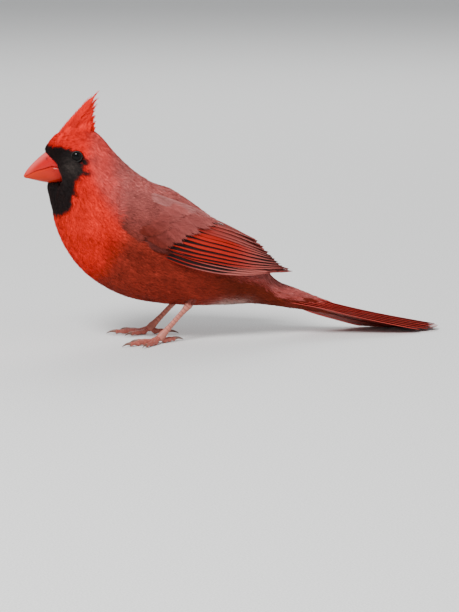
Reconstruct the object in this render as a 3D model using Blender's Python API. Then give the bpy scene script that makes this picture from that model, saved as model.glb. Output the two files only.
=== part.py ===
"""A male northern cardinal, standing, life size, as a still model in named pieces.

The bird faces -X, its left side is -Y and up is +Z. All sizes are in millimetres and are
turned into metres when a mesh is made. The bird is modelled about a point on the floor
between its feet, and is moved at the end so that the origin is under the middle of its box.
"""

from math import cos, pi, radians, sin

import bmesh
import bpy
import numpy as np
from mathutils import Matrix, Vector

MM = 0.001
GAP = 0.3
WELD, FLAT_WITHIN = 0.0002, radians(1.5)

# The body from the bill to the root of the tail, as leaning sections through the back and the
# belly: back x, back z, belly x, belly z, half width, height of the widest point, squareness
BODY = (
    (-59.2, 95.6, -50.6, 79.0, 5.6, 0.50, 2.0),
    (-57.6, 98.6, -50.9, 76.4, 8.2, 0.47, 2.1),
    (-53.4, 103.4, -52.6, 73.0, 10.6, 0.45, 2.2),
    (-47.0, 106.2, -54.6, 69.0, 12.4, 0.46, 2.2),
    (-39.5, 107.0, -54.9, 63.7, 13.8, 0.48, 2.15),
    (-32.0, 103.0, -52.9, 56.0, 14.9, 0.46, 2.1),
    (-24.8, 94.4, -48.6, 46.6, 17.0, 0.44, 2.1),
    (-15.5, 85.2, -41.8, 37.2, 19.6, 0.45, 2.1),
    (-4.9, 77.8, -32.1, 29.1, 21.6, 0.47, 2.15),
    (6.8, 70.6, -19.4, 22.6, 22.4, 0.48, 2.2),
    (18.5, 62.0, -5.8, 19.3, 21.6, 0.48, 2.2),
    (29.1, 53.0, 7.8, 17.6, 19.4, 0.48, 2.2),
    (37.9, 45.0, 21.4, 16.8, 16.0, 0.50, 2.15),
    (45.2, 38.8, 33.0, 16.6, 12.6, 0.52, 2.1),
    (51.5, 34.2, 43.7, 16.8, 9.8, 0.55, 2.1),
)
NECK_AT, TORSO_AT, TAIL_AT = 4.9, 6.4, 14.0

# The shape that the folded wings lie on, in the same terms: the flanks in front, and behind
# them the long slope to the wing tips, which cross over the rump
WING_BED = (
    (-24.8, 94.0, -48.6, 46.6, 17.6, 0.44, 2.1),
    (-15.5, 85.0, -41.8, 37.2, 20.8, 0.45, 2.1),
    (-4.9, 77.8, -32.1, 29.1, 23.0, 0.47, 2.15),
    (6.8, 71.4, -19.4, 22.6, 24.0, 0.48, 2.2),
    (18.5, 64.6, -5.8, 19.3, 23.6, 0.48, 2.2),
    (30.1, 58.0, 7.8, 17.6, 22.0, 0.48, 2.2),
    (40.8, 50.8, 21.4, 16.8, 19.3, 0.48, 2.15),
    (49.5, 43.2, 35.0, 16.2, 16.0, 0.48, 2.1),
    (57.3, 35.3, 47.6, 15.5, 12.8, 0.48, 2.1),
    (66.1, 29.2, 59.3, 15.2, 10.0, 0.48, 2.1),
)

# The head looks a little to the right of where the body faces
HEAD_TURN = radians(-7)
TURN_PIVOT = np.array((-28.0, 0.0, 0.0))
TURN_WHOLE, TURN_NONE = 4.2, 7.0

# Swellings and hollows of the head: middle on the left side, reach, height
HEAD_RELIEF = (
    ((-47.0, -12.5, 84.0), 8.0, 1.1),
    ((-43.5, -13.0, 94.3), 4.6, -0.9),
    ((-55.5, -7.5, 92.5), 5.0, -0.7),
    ((-43.0, -9.5, 101.0), 5.0, 0.5),
)
# The chin's feathers under the bill, level by level: height, front x, back x, half width
CHIN = (
    (78.8, -55.2, -45.5, 4.0),
    (77.0, -57.2, -46.0, 5.4),
    (73.2, -57.0, -47.5, 6.6),
    (68.5, -56.0, -49.5, 7.6),
    (63.5, -54.6, -51.5, 6.6),
)

EYE_MIDDLE, EYE_RADIUS = (-43.5, 10.6, 94.2), 3.1
LID_RING, LID_THICK, LID_OUT = 2.75, 0.5, 2.0

# The bill from tip to base: culmen x, z, mouth x, z, lower edge x, z, half width
BILL = (
    (-69.6, 83.3, -69.3, 82.8, -68.9, 82.3, 0.25),
    (-67.9, 86.2, -67.0, 84.1, -66.3, 81.7, 1.5),
    (-64.9, 89.6, -63.4, 86.0, -62.2, 80.7, 3.1),
    (-61.4, 92.8, -59.2, 87.3, -58.3, 79.9, 4.7),
    (-58.3, 95.2, -55.4, 88.5, -54.5, 79.5, 5.8),
    (-55.4, 96.6, -51.4, 87.9, -50.4, 79.7, 6.3),
)
NOSTRIL_MIDDLE, NOSTRIL_RADII = (-58.2, 4.5, 92.2), (1.0, 0.7, 0.55)

# The crest on the crown: each row gives its first and last root, first and last tip (x, z),
# how many feathers it has on each side and their width
CREST_ROWS = (
    ((-48.8, 102.6), (-38.0, 104.4), (-34.4, 121.6), (-34.2, 106.4), 6, 5.4),
    ((-52.4, 100.0), (-46.5, 103.4), (-42.4, 112.4), (-37.2, 114.6), 3, 4.4),
    ((-56.0, 97.0), (-52.0, 101.0), (-50.0, 104.4), (-45.0, 109.4), 3, 4.0),
)
CREST_ROOT_SIDE, CREST_TIP_SIDE, CREST_THICK, CREST_BOW = 3.4, 0.9, 0.6, 0.04
CREST_CORE = ((-57.0, 96.8, 2.6), (-51.2, 103.8, 3.4), (-45.0, 109.0, 2.6), (-40.5, 111.4, 1.2))
CREST_CORE_BACK = ((-50.5, 97.0), (-44.0, 100.5), (-38.5, 105.0), (-37.4, 108.8))

# The folded wing seen from the left: its lower and upper edges (x, z), from the shoulder back
WING_LOWER = ((-29.6, 62.0), (-21.0, 53.6), (-7.4, 47.2), (8.3, 41.8), (22.8, 38.0), (37.7, 35.6))
WING_UPPER = ((-27.5, 76.0), (-18.0, 80.2), (-3.5, 75.4), (9.0, 68.6), (21.5, 61.4), (31.0, 55.8))
WING_DEEP, WING_PROUD = -1.5, 0.7
BED_CLEAR, BED_MARGIN, BED_REACH = 0.6, 1.4, 14.0

# Rows of wing feathers, low ones first: the lines that their roots and tips lie on (x, z), how
# many, width at each end, share of the width below the shaft, height over the bed at root and
# tip, and how far the upper edge dips under the next feather
WING_ROWS = {
    "primaries": (
        ((-7.0, 49.0), (4.0, 50.6)), ((50.0, 33.6), (58.6, 32.0), (63.6, 30.6)),
        5, (6.0, 6.4), 0.30, (0.1, 0.7), 1.7),
    "secondaries": (
        ((4.0, 51.6), (16.0, 56.0)), ((60.4, 32.6), (58.4, 35.0), (55.6, 37.6)),
        5, (6.6, 7.2), 0.30, (0.26, 1.25), 1.8),
    "tertials": (
        ((16.0, 56.6), (20.5, 60.4)), ((54.0, 39.4), (50.5, 42.4), (43.8, 48.6)),
        3, (7.6, 9.0), 0.40, (0.37, 2.1), 1.4),
    "primary_coverts": (
        ((-16.5, 53.0), (-13.5, 56.0)), ((2.5, 46.6), (-2.0, 51.0)),
        3, (4.4, 4.6), 0.45, (0.19, 1.9), 0.9),
    "greater_coverts": (
        ((-11.5, 55.0), (9.5, 66.0)), ((5.4, 51.2), (12.6, 55.6), (23.0, 60.0)),
        5, (6.2, 7.4), 0.45, (0.33, 2.3), 1.2),
    "median_coverts": (
        ((-17.5, 59.0), (1.0, 70.0)), ((-7.4, 56.4), (12.0, 66.4)),
        4, (6.8, 7.4), 0.45, (0.41, 2.5), 1.0),
    "lesser_coverts": (
        ((-24.5, 62.5), (-11.5, 75.5)), ((-13.8, 60.4), (2.6, 71.0)),
        4, (7.0, 7.8), 0.50, (0.29, 2.35), 0.9),
    "scapulars": (
        ((-13.5, 76.4), (-3.5, 73.6)), ((2.0, 70.4), (17.5, 62.8)),
        3, (8.0, 8.6), 0.50, (0.34, 2.6), 0.8),
}
FLIGHT_ROWS = ("primaries", "secondaries", "tertials")
VANE_THICK = 0.55
# Where along a feather its cross sections are: a long one, and a short one
FEATHER_STEPS = (0.0, 0.22, 0.48, 0.72, 0.9, 1.0)
SHORT_STEPS = (0.0, 0.45, 0.82, 1.0)

# The tail, a fan of twelve feathers that leaves the rump and comes down to the floor
TAIL_ROOT = (46.0, 27.4)
TAIL_DROP_ROOT, TAIL_DROP_TIP = radians(20.5), radians(9.5)
TAIL_ROLL = radians(16)
TAIL_LENGTHS = (97.0, 98.0, 97.0, 95.0, 92.0, 87.0)
TAIL_START = 9.0
TAIL_SPREAD_ROOT, TAIL_SPREAD_TIP = 0.7, 1.9
TAIL_STEP, TAIL_ARCH = 0.85, 0.010
TAIL_WIDTH = 11.0
# Each tail feather's sideways lean at its tip, central pair first: left side, right side
TAIL_LEAN = ((-1.2, -1.6, -1.5, 0.6, 0.9, 0.4), (0.3, 0.2, 1.6, 1.8, 0.6, 0.2))
# The coverts' shape over and under the tail's root: distance along the tail, height of its
# upper and its lower side above the tail's line, half width
TAIL_COVERTS = (
    (11.0, 3.6, -8.6, 8.6),
    (22.0, 2.6, -6.8, 7.8),
    (32.0, 1.4, -5.4, 6.6),
    (40.0, 0.6, -4.6, 4.8),
)

# The legs, right side: the ankle and the foot's middle, x, y, z
ANKLE, FOOT = (10.2, 12.2, 18.4), (-4.6, 13.8, 2.9)
THIGH_TOP, THIGH_RADII = (15.5, 10.5, 29.5), (6.4, 2.0)
THIGH_SHORT = 0.6
# The shank ends at this share of the way from the ankle to the foot, where the foot takes over
SHANK_END = 0.82
SHANK_DEEP, SHANK_WIDE = (1.9, 1.35, 1.3, 1.35, 1.6), (1.5, 1.05, 0.95, 1.0, 1.4)
FOOT_YAW = {"left": radians(20), "right": radians(8)}
# Toes: direction from straight ahead with + outwards, bone length, claw length, radius
TOES = {
    "hallux": (radians(187), 9.0, 6.4, 1.35),
    "inner": (radians(-32), 11.0, 4.8, 1.20),
    "middle": (radians(0), 17.0, 5.4, 1.30),
    "outer": (radians(29), 13.0, 4.8, 1.20),
}
TOE_HEIGHT, PAD_SWELL = 1.15, 0.16
CLAW_LIFT = 0.25

COLOURS = {
    "red": ((0.62, 0.035, 0.02), 0.75, 0.0),
    "dusky_red": ((0.30, 0.06, 0.05), 0.75, 0.0),
    "bill": ((0.85, 0.13, 0.04), 0.35, 0.0),
    "eye": ((0.01, 0.008, 0.006), 0.05, 0.0),
    "leg": ((0.55, 0.26, 0.22), 0.55, 0.0),
    "claw": ((0.30, 0.17, 0.13), 0.40, 0.0),
}


def spline(values, u):
    """A smooth curve through values at 0, 1, 2 and so on, read at u."""
    v = np.asarray(values, float)
    u = np.clip(np.asarray(u, float), 0, len(v) - 1)
    i = np.minimum(u.astype(int), len(v) - 2)
    f = u - i
    if v.ndim > 1:
        f = f[..., None]
    a, b, c, d = v[np.maximum(i - 1, 0)], v[i], v[i + 1], v[np.minimum(i + 2, len(v) - 1)]
    return b + 0.5 * f * (c - a + f * (2 * a - 5 * b + 4 * c - d + f * (3 * (b - c) + d - a)))


def smooth_step(t):
    t = np.clip(t, 0, 1)
    return t * t * (3 - 2 * t)


def normalised(v):
    return v / np.linalg.norm(v, axis=-1, keepdims=True)


def turned(points, share=1.0):
    """Points of the head after it looks aside, or of the neck by a share of that turn."""
    points = np.asarray(points, float) - TURN_PIVOT
    angle = HEAD_TURN * np.asarray(share)
    x = points[..., 0] * np.cos(angle) - points[..., 1] * np.sin(angle)
    y = points[..., 0] * np.sin(angle) + points[..., 1] * np.cos(angle)
    return np.stack([x, y, points[..., 2]], -1) + TURN_PIVOT


def section_point(table, u, angle):
    """A point of a body-like shape at station u: angle 0 is the back, +90 degrees its right."""
    s = spline(table, u)
    back_x, back_z, belly_x, belly_z, half, widest, square = [s[..., i] for i in range(7)]
    side, rise = np.sin(angle), np.cos(angle)
    side = np.sign(side) * np.abs(side) ** (2 / square)
    rise = np.sign(rise) * np.abs(rise) ** (2 / square)
    level = widest + np.where(rise > 0, 1 - widest, widest) * rise
    x = belly_x + (back_x - belly_x) * level
    z = belly_z + (back_z - belly_z) * level
    return np.stack([x, half * side, z], -1)


def body_point(u, angle):
    """A point of the bird's body, with the head's relief and turn."""
    p = section_point(BODY, u, angle)
    s = spline(BODY, u)
    middle = np.stack([(s[..., 0] + s[..., 2]) / 2, 0 * s[..., 0], (s[..., 1] + s[..., 3]) / 2], -1)
    out = normalised(p - middle)
    for centre, reach, height in HEAD_RELIEF:
        for hand in (1, -1):
            away = np.linalg.norm(p - np.array(centre) * (1, hand, 1), axis=-1)
            p = p + out * (height * np.exp(-((away / reach) ** 2)))[..., None]
    share = 1 - smooth_step((np.asarray(u) - TURN_WHOLE) / (TURN_NONE - TURN_WHOLE))
    return turned(p, share)


def bed_place(x, z):
    """Station and angle on the wings' bed of the point that is seen at x, z from the left."""
    low, high = np.zeros_like(x), np.full_like(x, len(WING_BED) - 1.0)
    for _ in range(30):
        u = (low + high) / 2
        s = spline(WING_BED, u)
        across = (s[..., 0] - s[..., 2]) * (z - s[..., 3]) - (s[..., 1] - s[..., 3]) * (x - s[..., 2])
        high, low = np.where(across > 0, u, high), np.where(across > 0, low, u)
    along = (x - s[..., 2]) * (s[..., 0] - s[..., 2]) + (z - s[..., 3]) * (s[..., 1] - s[..., 3])
    level = along / ((s[..., 0] - s[..., 2]) ** 2 + (s[..., 1] - s[..., 3]) ** 2)
    widest = s[..., 5]
    rise = np.clip((level - widest) / np.where(level > widest, 1 - widest, widest), -0.995, 0.995)
    angle = np.arccos(np.sign(rise) * np.abs(rise) ** (s[..., 6] / 2))
    return u, -angle


def on_bed(points, lift):
    """Points of the left wing: seen at x, z from the left, lift above the bed, and their normals."""
    points = np.asarray(points, float)
    u, angle = bed_place(points[..., 0], points[..., 1])
    here = section_point(WING_BED, u, angle)
    step = 0.02
    along = section_point(WING_BED, u + step, angle) - section_point(WING_BED, u - step, angle)
    around = section_point(WING_BED, u, angle + step) - section_point(WING_BED, u, angle - step)
    normal = normalised(np.cross(around, along))
    outward = np.sign((normal * (here - section_point(WING_BED, u, angle + pi))).sum(-1))
    normal = normal * outward[..., None]
    return here + normal * np.asarray(lift)[..., None], normal


def mesh_object(name, points, faces):
    """A closed mesh from points in millimetres, with its faces turned outwards."""
    mesh = bpy.data.meshes.new(name)
    mesh.from_pydata((np.asarray(points) * MM).tolist(), [], [tuple(map(int, f)) for f in faces])
    work = bmesh.new()
    work.from_mesh(mesh)
    bmesh.ops.recalc_face_normals(work, faces=work.faces)
    work.to_mesh(mesh)
    work.free()
    piece = bpy.data.objects.new(name, mesh)
    bpy.context.scene.collection.objects.link(piece)
    return piece


def loft(name, rings):
    """A closed solid through rings of points, with a fan of faces over each end."""
    rings = np.asarray(rings, float)
    rows, columns = rings.shape[:2]
    points = np.concatenate([rings.reshape(-1, 3), rings[[0, -1]].mean(1)])
    faces = []
    for j in range(columns):
        k = (j + 1) % columns
        for i in range(rows - 1):
            a, b = i * columns, (i + 1) * columns
            faces += [(a + j, b + j, b + k), (a + j, b + k, a + k)]
        last = (rows - 1) * columns
        faces += [(j, k, rows * columns), (last + j, last + k, rows * columns + 1)]
    return mesh_object(name, points, faces)


def slab(name, upper, lower):
    """A closed sheet between two grids of points, split into triangles alike on both faces."""
    upper, lower = np.asarray(upper, float), np.asarray(lower, float)
    rows, columns = upper.shape[:2]
    under = rows * columns
    faces = []
    for i in range(rows - 1):
        for j in range(columns - 1):
            a, b = i * columns + j, (i + 1) * columns + j
            for corner in ((a, b, b + 1), (a, b + 1, a + 1)):
                faces += [corner, tuple(c + under for c in corner[::-1])]
    rim = [j for j in range(columns)] + [i * columns + columns - 1 for i in range(1, rows)]
    rim += [(rows - 1) * columns + j for j in range(columns - 2, -1, -1)]
    rim += [i * columns for i in range(rows - 2, 0, -1)]
    for a, b in zip(rim, rim[1:] + rim[:1]):
        faces += [(a, b, b + under), (a, b + under, a + under)]
    return mesh_object(name, np.concatenate([upper.reshape(-1, 3), lower.reshape(-1, 3)]), faces)


def ball(name, middle, radii, segments=16, rings=10):
    """An ellipsoid, whose poles are along Z."""
    mesh = bpy.data.meshes.new(name)
    work = bmesh.new()
    place = Matrix.Translation(Vector(middle) * MM) @ Matrix.Diagonal((*[r * MM for r in radii], 1))
    bmesh.ops.create_uvsphere(work, u_segments=segments, v_segments=rings, radius=1, matrix=place)
    work.to_mesh(mesh)
    work.free()
    piece = bpy.data.objects.new(name, mesh)
    bpy.context.scene.collection.objects.link(piece)
    return piece


def largest_body(mesh):
    """Drops all but the mesh's largest closed surface."""
    work = bmesh.new()
    work.from_mesh(mesh)
    bmesh.ops.remove_doubles(work, verts=work.verts, dist=WELD * MM)
    bmesh.ops.dissolve_degenerate(work, edges=work.edges, dist=WELD * MM)
    bmesh.ops.dissolve_limit(
        work, angle_limit=FLAT_WITHIN, use_dissolve_boundaries=False, verts=work.verts, edges=work.edges)
    bmesh.ops.triangulate(work, faces=work.faces)
    left, bodies = set(work.faces), []
    while left:
        queue, body = [left.pop()], []
        while queue:
            face = queue.pop()
            body.append(face)
            near = {f for e in face.edges for f in e.link_faces} & left
            left -= near
            queue += near
        bodies.append(body)
    volumes = [sum(f.verts[0].co.dot(f.verts[1].co.cross(f.verts[2].co)) for f in b) for b in bodies]
    keep = set(bodies[int(np.argmax(volumes))])
    bmesh.ops.delete(work, geom=[f for f in work.faces if f not in keep], context="FACES")
    work.to_mesh(mesh)
    work.free()


def combined(piece, others, operation):
    """Joins the others to a piece, or cuts them from it, and removes them."""
    group = bpy.data.collections.new("pieces")
    bpy.context.scene.collection.children.link(group)
    for other in others:
        bpy.context.scene.collection.objects.unlink(other)
        group.objects.link(other)
    modifier = piece.modifiers.new("combine", "BOOLEAN")
    modifier.operation = operation
    modifier.operand_type = "COLLECTION"
    modifier.collection = group
    graph = bpy.context.evaluated_depsgraph_get()
    mesh = bpy.data.meshes.new_from_object(piece.evaluated_get(graph))
    piece.modifiers.clear()
    largest_body(mesh)
    piece.data = mesh
    for other in others:
        bpy.data.objects.remove(other)
    bpy.data.collections.remove(group)
    return piece


def joined(pieces):
    return combined(pieces[0], pieces[1:], "UNION")


def cut(piece, *cutters):
    return combined(piece, list(cutters), "DIFFERENCE")


def box(name, low, high):
    mesh = bpy.data.meshes.new(name)
    work = bmesh.new()
    size = Matrix.Diagonal((*[(b - a) * MM for a, b in zip(low, high)], 1))
    middle = Matrix.Translation([(a + b) / 2 * MM for a, b in zip(low, high)])
    bmesh.ops.create_cube(work, size=1, matrix=middle @ size)
    work.to_mesh(mesh)
    work.free()
    piece = bpy.data.objects.new(name, mesh)
    bpy.context.scene.collection.objects.link(piece)
    return piece


def floor_cutter():
    """All that is under the floor, which leaves small flats where the bird touches it."""
    return box("under the floor", (-120, -80, -20), (200, 80, 0))


def mirrored(piece, name):
    """A copy of a left piece for the right side."""
    mesh = piece.data.copy()
    mesh.transform(Matrix.Diagonal((1, -1, 1, 1)))
    mesh.flip_normals()
    copy = bpy.data.objects.new(name, mesh)
    bpy.context.scene.collection.objects.link(copy)
    return copy


def blade_width(t, root=0.55, shoulder=0.3, round_from=0.72):
    """A feather's width along it, as a share of its greatest: narrow root, round tip."""
    width = root + (1 - root) * smooth_step(t / shoulder)
    past = np.clip((t - round_from) / (1 - round_from), 0, 1)
    return width * np.sqrt(np.maximum(1 - past**2, 0.02))


def feather(name, line, ups, width, below=0.5, dip=0.0, crown=0.15, thick=VANE_THICK, root=0.55):
    """A thin vane along a line: below is the share of its width on the line's lower side, and
    dip how far its upper edge sinks under the next feather. A short feather is flat across."""
    line, ups = np.asarray(line, float), normalised(np.asarray(ups, float))
    short = len(line) == len(SHORT_STEPS)
    t = np.array(SHORT_STEPS if short else FEATHER_STEPS)
    along = normalised(np.gradient(line, axis=0))
    across = normalised(np.cross(ups, along))
    wide = (width * blade_width(t, root))[:, None]
    thin = (thick * (1 - 0.35 * t**4))[:, None]
    lower = line - across * wide * below - ups * crown
    sunk = dip * (0.35 + 0.65 * smooth_step(t / 0.5))[:, None]
    upper = line + across * wide * (1 - below) - ups * sunk
    top = np.stack([lower, upper] if short else [lower, line, upper], 1)
    return slab(name, top, top - (ups * thin)[:, None, :])


def between(a, b, share):
    return np.asarray(a, float) + (np.asarray(b, float) - np.asarray(a, float)) * share


def part_of_body(name, first, last, rows, columns=28):
    """The body between two stations, less half a gap where it meets the next piece."""
    u = np.linspace(first, last, rows)[:, None]
    angle = np.linspace(0, 2 * pi, columns, endpoint=False)[None, :]
    rings = body_point(u + 0 * angle, angle + 0 * u)
    for end, sign in ((0, 1), (-1, -1)):
        ring = rings[end]
        normal = np.cross(ring[columns // 4] - ring[0], ring[columns // 2] - ring[0])
        inward = rings[end + sign].mean(0) - ring.mean(0)
        normal *= np.sign(normal @ inward) / np.linalg.norm(normal)
        rings[end] = ring + normal * GAP / 2
    return loft(name, rings)


def crest_feathers():
    """Rows of narrow feathers that rise from the crown and meet in the crest's point."""
    t = np.array(SHORT_STEPS)[:, None]
    pieces = []
    for row, (root_a, root_b, tip_a, tip_b, count, width) in enumerate(CREST_ROWS):
        for i in range(count):
            share = i / (count - 1)
            root, tip = between(root_a, root_b, share), between(tip_a, tip_b, share**0.85)
            for hand in (-1, 1):
                side = hand * (CREST_ROOT_SIDE * (1 - 0.16 * row) * (1 - t) + CREST_TIP_SIDE * t)
                flat = root + (tip - root) * t
                bow = CREST_BOW * np.linalg.norm(tip - root) * np.sin(pi * t)
                ahead = np.array((tip[1] - root[1], root[0] - tip[0]))
                flat = flat - bow * ahead / np.linalg.norm(ahead)
                side = side * (1 + 0.15 * (i % 2))
                line = np.column_stack([flat[:, :1], side, flat[:, 1:]])
                ups = np.array((-0.35, hand * 1.0, 0.25)) + 0 * line
                long_enough = 0.6 + 0.4 * min(1, np.linalg.norm(tip - root) / 16)
                pieces.append(feather("crest", turned(line), ups, width * long_enough, thick=CREST_THICK))
    return pieces


def crest_core():
    """The low keel of the crown that the crest grows from."""
    rings = []
    for (x, z, half), (back_x, back_z) in zip(CREST_CORE, CREST_CORE_BACK):
        front, back = np.array((x, 0, z)), np.array((back_x, 0, back_z))
        side = np.array((0, half, 0))
        middle = front * 0.45 + back * 0.55
        rings.append([front, front * 0.8 + back * 0.2 + side * 0.8, middle + side, back + side * 0.6,
                      back - side * 0.6, middle - side, front * 0.8 + back * 0.2 - side * 0.8])
    return loft("crest core", turned(rings))


def eye_place(hand):
    return turned(np.array(EYE_MIDDLE) * (1, hand, 1))


def lid_ring(hand):
    """The rim of the lids, a ring round the eye that faces out and a little forward."""
    out = normalised(np.array((-0.16, hand, 0.05)))
    middle = eye_place(hand) + out * LID_OUT
    across = normalised(np.cross(out, (0.0, 0.0, 1.0)))
    along = np.cross(out, across)
    rounds, sides = 16, 5
    points, faces = [], []
    for i in range(rounds):
        spoke = across * cos(2 * pi * i / rounds) + along * sin(2 * pi * i / rounds)
        for j in range(sides):
            turn = 2 * pi * j / sides
            points.append(middle + spoke * (LID_RING + LID_THICK * cos(turn)) + out * LID_THICK * sin(turn))
            a, b = i * sides + j, (i + 1) % rounds * sides + j
            c, d = (i + 1) % rounds * sides + (j + 1) % sides, i * sides + (j + 1) % sides
            faces += [(a, b, c), (a, c, d)]
    return mesh_object("lids", points, faces)


def bill_rings(upper, grow=0.0):
    """Rings of one half of the bill: a ridged arch over the mouth line, or a trough under it."""
    rings = []
    for culmen_x, culmen_z, mouth_x, mouth_z, keel_x, keel_z, half in BILL:
        mouth = np.array((mouth_x, 0, mouth_z))
        far = np.array((culmen_x, 0, culmen_z)) if upper else np.array((keel_x, 0, keel_z))
        out = normalised(far - mouth)
        mouth, far = mouth + out * (GAP / 2 - grow), far + out * grow
        ring = []
        for angle in np.linspace(-90, 90, 9):
            side = sin(radians(angle)) * (half + grow)
            rise = cos(radians(angle)) ** (0.9 if upper else 0.7)
            ring.append(mouth + (far - mouth) * rise + np.array((0, side, 0)))
        hollow = out * min(0.25 * half, 0.35 * np.linalg.norm(far - mouth)) * (0 if grow else 1)
        ring += [mouth + hollow + np.array((0, s * half, 0)) for s in (0.5, 0, -0.5)]
        rings.append(ring)
    return turned(rings)


def bill():
    upper = loft("bill_upper", bill_rings(True))
    lower = loft("bill_lower", bill_rings(False))
    nostrils = [ball("nostril", turned(np.array(NOSTRIL_MIDDLE) * (1, h, 1)), NOSTRIL_RADII, 8, 6)
                for h in (-1, 1)]
    return [cut(upper, *nostrils), lower]


def bill_socket():
    """The bill with a gap round it and behind it, to be cut from the head."""
    made = []
    for upper in (True, False):
        rings = bill_rings(upper, GAP)
        made.append(loft("socket", np.concatenate([rings, rings[-1:] + (GAP, 0, 0)])))
    return made


def chin():
    """The chin, which stands forward under the bill and runs down into the throat."""
    angle = np.linspace(0, 2 * pi, 14, endpoint=False)
    rings = []
    for level, front, back, half in spline(CHIN, np.linspace(0, len(CHIN) - 1, 7)):
        x = (front + back) / 2 + (front - back) / 2 * np.cos(angle)
        rings.append(np.column_stack([x, half * np.sin(angle), level + 0 * angle]))
    return loft("chin", turned(rings))


def head():
    skull = part_of_body("head", 0, NECK_AT, 13, 24)
    rims = [lid_ring(hand) for hand in (-1, 1)]
    whole = joined([skull, chin(), crest_core(), *crest_feathers(), *rims])
    sockets = [ball("socket", eye_place(h), [EYE_RADIUS + GAP] * 3, 16, 10) for h in (-1, 1)]
    return cut(whole, *sockets, *bill_socket())


def eyes():
    return [ball(f"eye_{side}", eye_place(hand), [EYE_RADIUS] * 3, 16, 10)
            for side, hand in (("left", -1), ("right", 1))]


def wing_grid(margin, rows, columns):
    """Places on the wing's patch of the bed, x and z, over its whole outline grown by margin."""
    s = np.linspace(0, len(WING_LOWER) - 1, rows)[:, None]
    low, high = spline(WING_LOWER, s[:, 0]), spline(WING_UPPER, s[:, 0])
    out = normalised(high - low) * margin
    low, high = low - out, high + out * 0.5
    t = np.linspace(0, 1, columns)[None, :, None]
    grid = low[:, None, :] + (high - low)[:, None, :] * t
    grid[0] -= (margin, 0)
    return grid


def wing_core():
    """The arm and the feathers' roots, a thin plate that follows the flank."""
    grid = wing_grid(-0.4, 9, 6)[:7]
    rows, columns = grid.shape[:2]
    edge = np.ones((rows, columns))
    edge[[0, -1], :] = 0.25
    edge[:, [0, -1]] = 0.25
    upper, _ = on_bed(grid, WING_PROUD * edge)
    lower, _ = on_bed(grid, WING_DEEP * edge - 0.15)
    return slab("wing core", upper, lower)


def wing_feathers():
    """The wing's feathers, row by row, each row's vanes laid like shingles from the top down."""
    pieces = []
    for name, (roots, tips, count, widths, below, lifts, dip) in WING_ROWS.items():
        t = np.array(FEATHER_STEPS if name in FLIGHT_ROWS else SHORT_STEPS)
        for i in range(count):
            share = i / (count - 1)
            root = spline(roots, share * (len(roots) - 1))
            tip = spline(tips, share * (len(tips) - 1))
            flat = root + (tip - root) * t[:, None]
            drop = 0.035 * np.linalg.norm(tip - root)
            flat = flat + np.column_stack([0 * t, -drop * np.sin(pi * t) * (1 - share)])
            lift = lifts[0] + (lifts[1] - lifts[0]) * smooth_step(t / 0.5) + 0.15 * (i % 2)
            line, ups = on_bed(flat, lift)
            width = widths[0] + (widths[1] - widths[0]) * share
            pieces.append(feather("wing feather", line, ups, width, below, dip))
    return pieces


def wing_left():
    return joined([wing_core(), *wing_feathers()])


def wing_recess():
    """Room for the folded left wing, to be cut from the torso."""
    grid = wing_grid(BED_MARGIN, 12, 7)
    lower, _ = on_bed(grid, np.full(grid.shape[:2], WING_DEEP - BED_CLEAR))
    upper, _ = on_bed(grid, np.full(grid.shape[:2], BED_REACH))
    return slab("recess", upper, lower)


def torso():
    left = wing_recess()
    right = mirrored(left, "recess")
    return cut(part_of_body("torso", TORSO_AT, TAIL_AT, 17, 28), left, right)


def tail_frame(along):
    """A point of the tail's line, and the directions along it, to its right and up from it."""
    along = np.asarray(along, float)
    length = max(TAIL_LENGTHS)
    steps = np.linspace(0, 1, 33)
    x, z = np.full(along.shape, TAIL_ROOT[0]), np.full(along.shape, TAIL_ROOT[1])
    for a, b in zip(steps[:-1], steps[1:]):
        mid = (a + b) / 2 * along / length
        angle = TAIL_DROP_ROOT + (TAIL_DROP_TIP - TAIL_DROP_ROOT) * mid
        x, z = x + np.cos(angle) * (b - a) * along, z - np.sin(angle) * (b - a) * along
    angle = TAIL_DROP_ROOT + (TAIL_DROP_TIP - TAIL_DROP_ROOT) * along / length
    zero = 0 * angle
    forward = np.stack([np.cos(angle), zero, -np.sin(angle)], -1)
    up = np.stack([np.sin(angle), zero, np.cos(angle)], -1)
    side = np.stack([zero, zero + 1, zero], -1)
    roll = TAIL_ROLL * smooth_step((along - TAIL_START) / 30)[..., None]
    right, high = side * np.cos(roll) - up * np.sin(roll), up * np.cos(roll) + side * np.sin(roll)
    return np.stack([x, zero, z], -1), forward, right, high


def tail_feathers():
    """Twelve tail feathers, the middle pair on top and each next one under its neighbour."""
    t = np.array(FEATHER_STEPS)
    pieces = []
    for hand, leans in ((-1, TAIL_LEAN[0]), (1, TAIL_LEAN[1])):
        for i, length in enumerate(TAIL_LENGTHS):
            along = TAIL_START + (length - TAIL_START) * t
            place, _, right, up = tail_frame(along)
            spread = TAIL_SPREAD_ROOT + (TAIL_SPREAD_TIP - TAIL_SPREAD_ROOT) * t
            side = hand * (0.6 + i * spread) + leans[i] * t**2
            level = -TAIL_STEP * (i + 0.5 * (hand > 0)) - TAIL_ARCH * side**2 * t
            line = place + right * side[:, None] + up * level[:, None]
            tilt = normalised(up + right * (2 * TAIL_ARCH * side * t)[:, None])
            below = 0.5 + hand * (0.5 - 0.42) * min(i, 1)
            width = TAIL_WIDTH * (1 - 0.03 * i)
            pieces.append(feather("tail feather", line, tilt, width, below, 0.2, 0.2, root=0.42))
    return pieces


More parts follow.
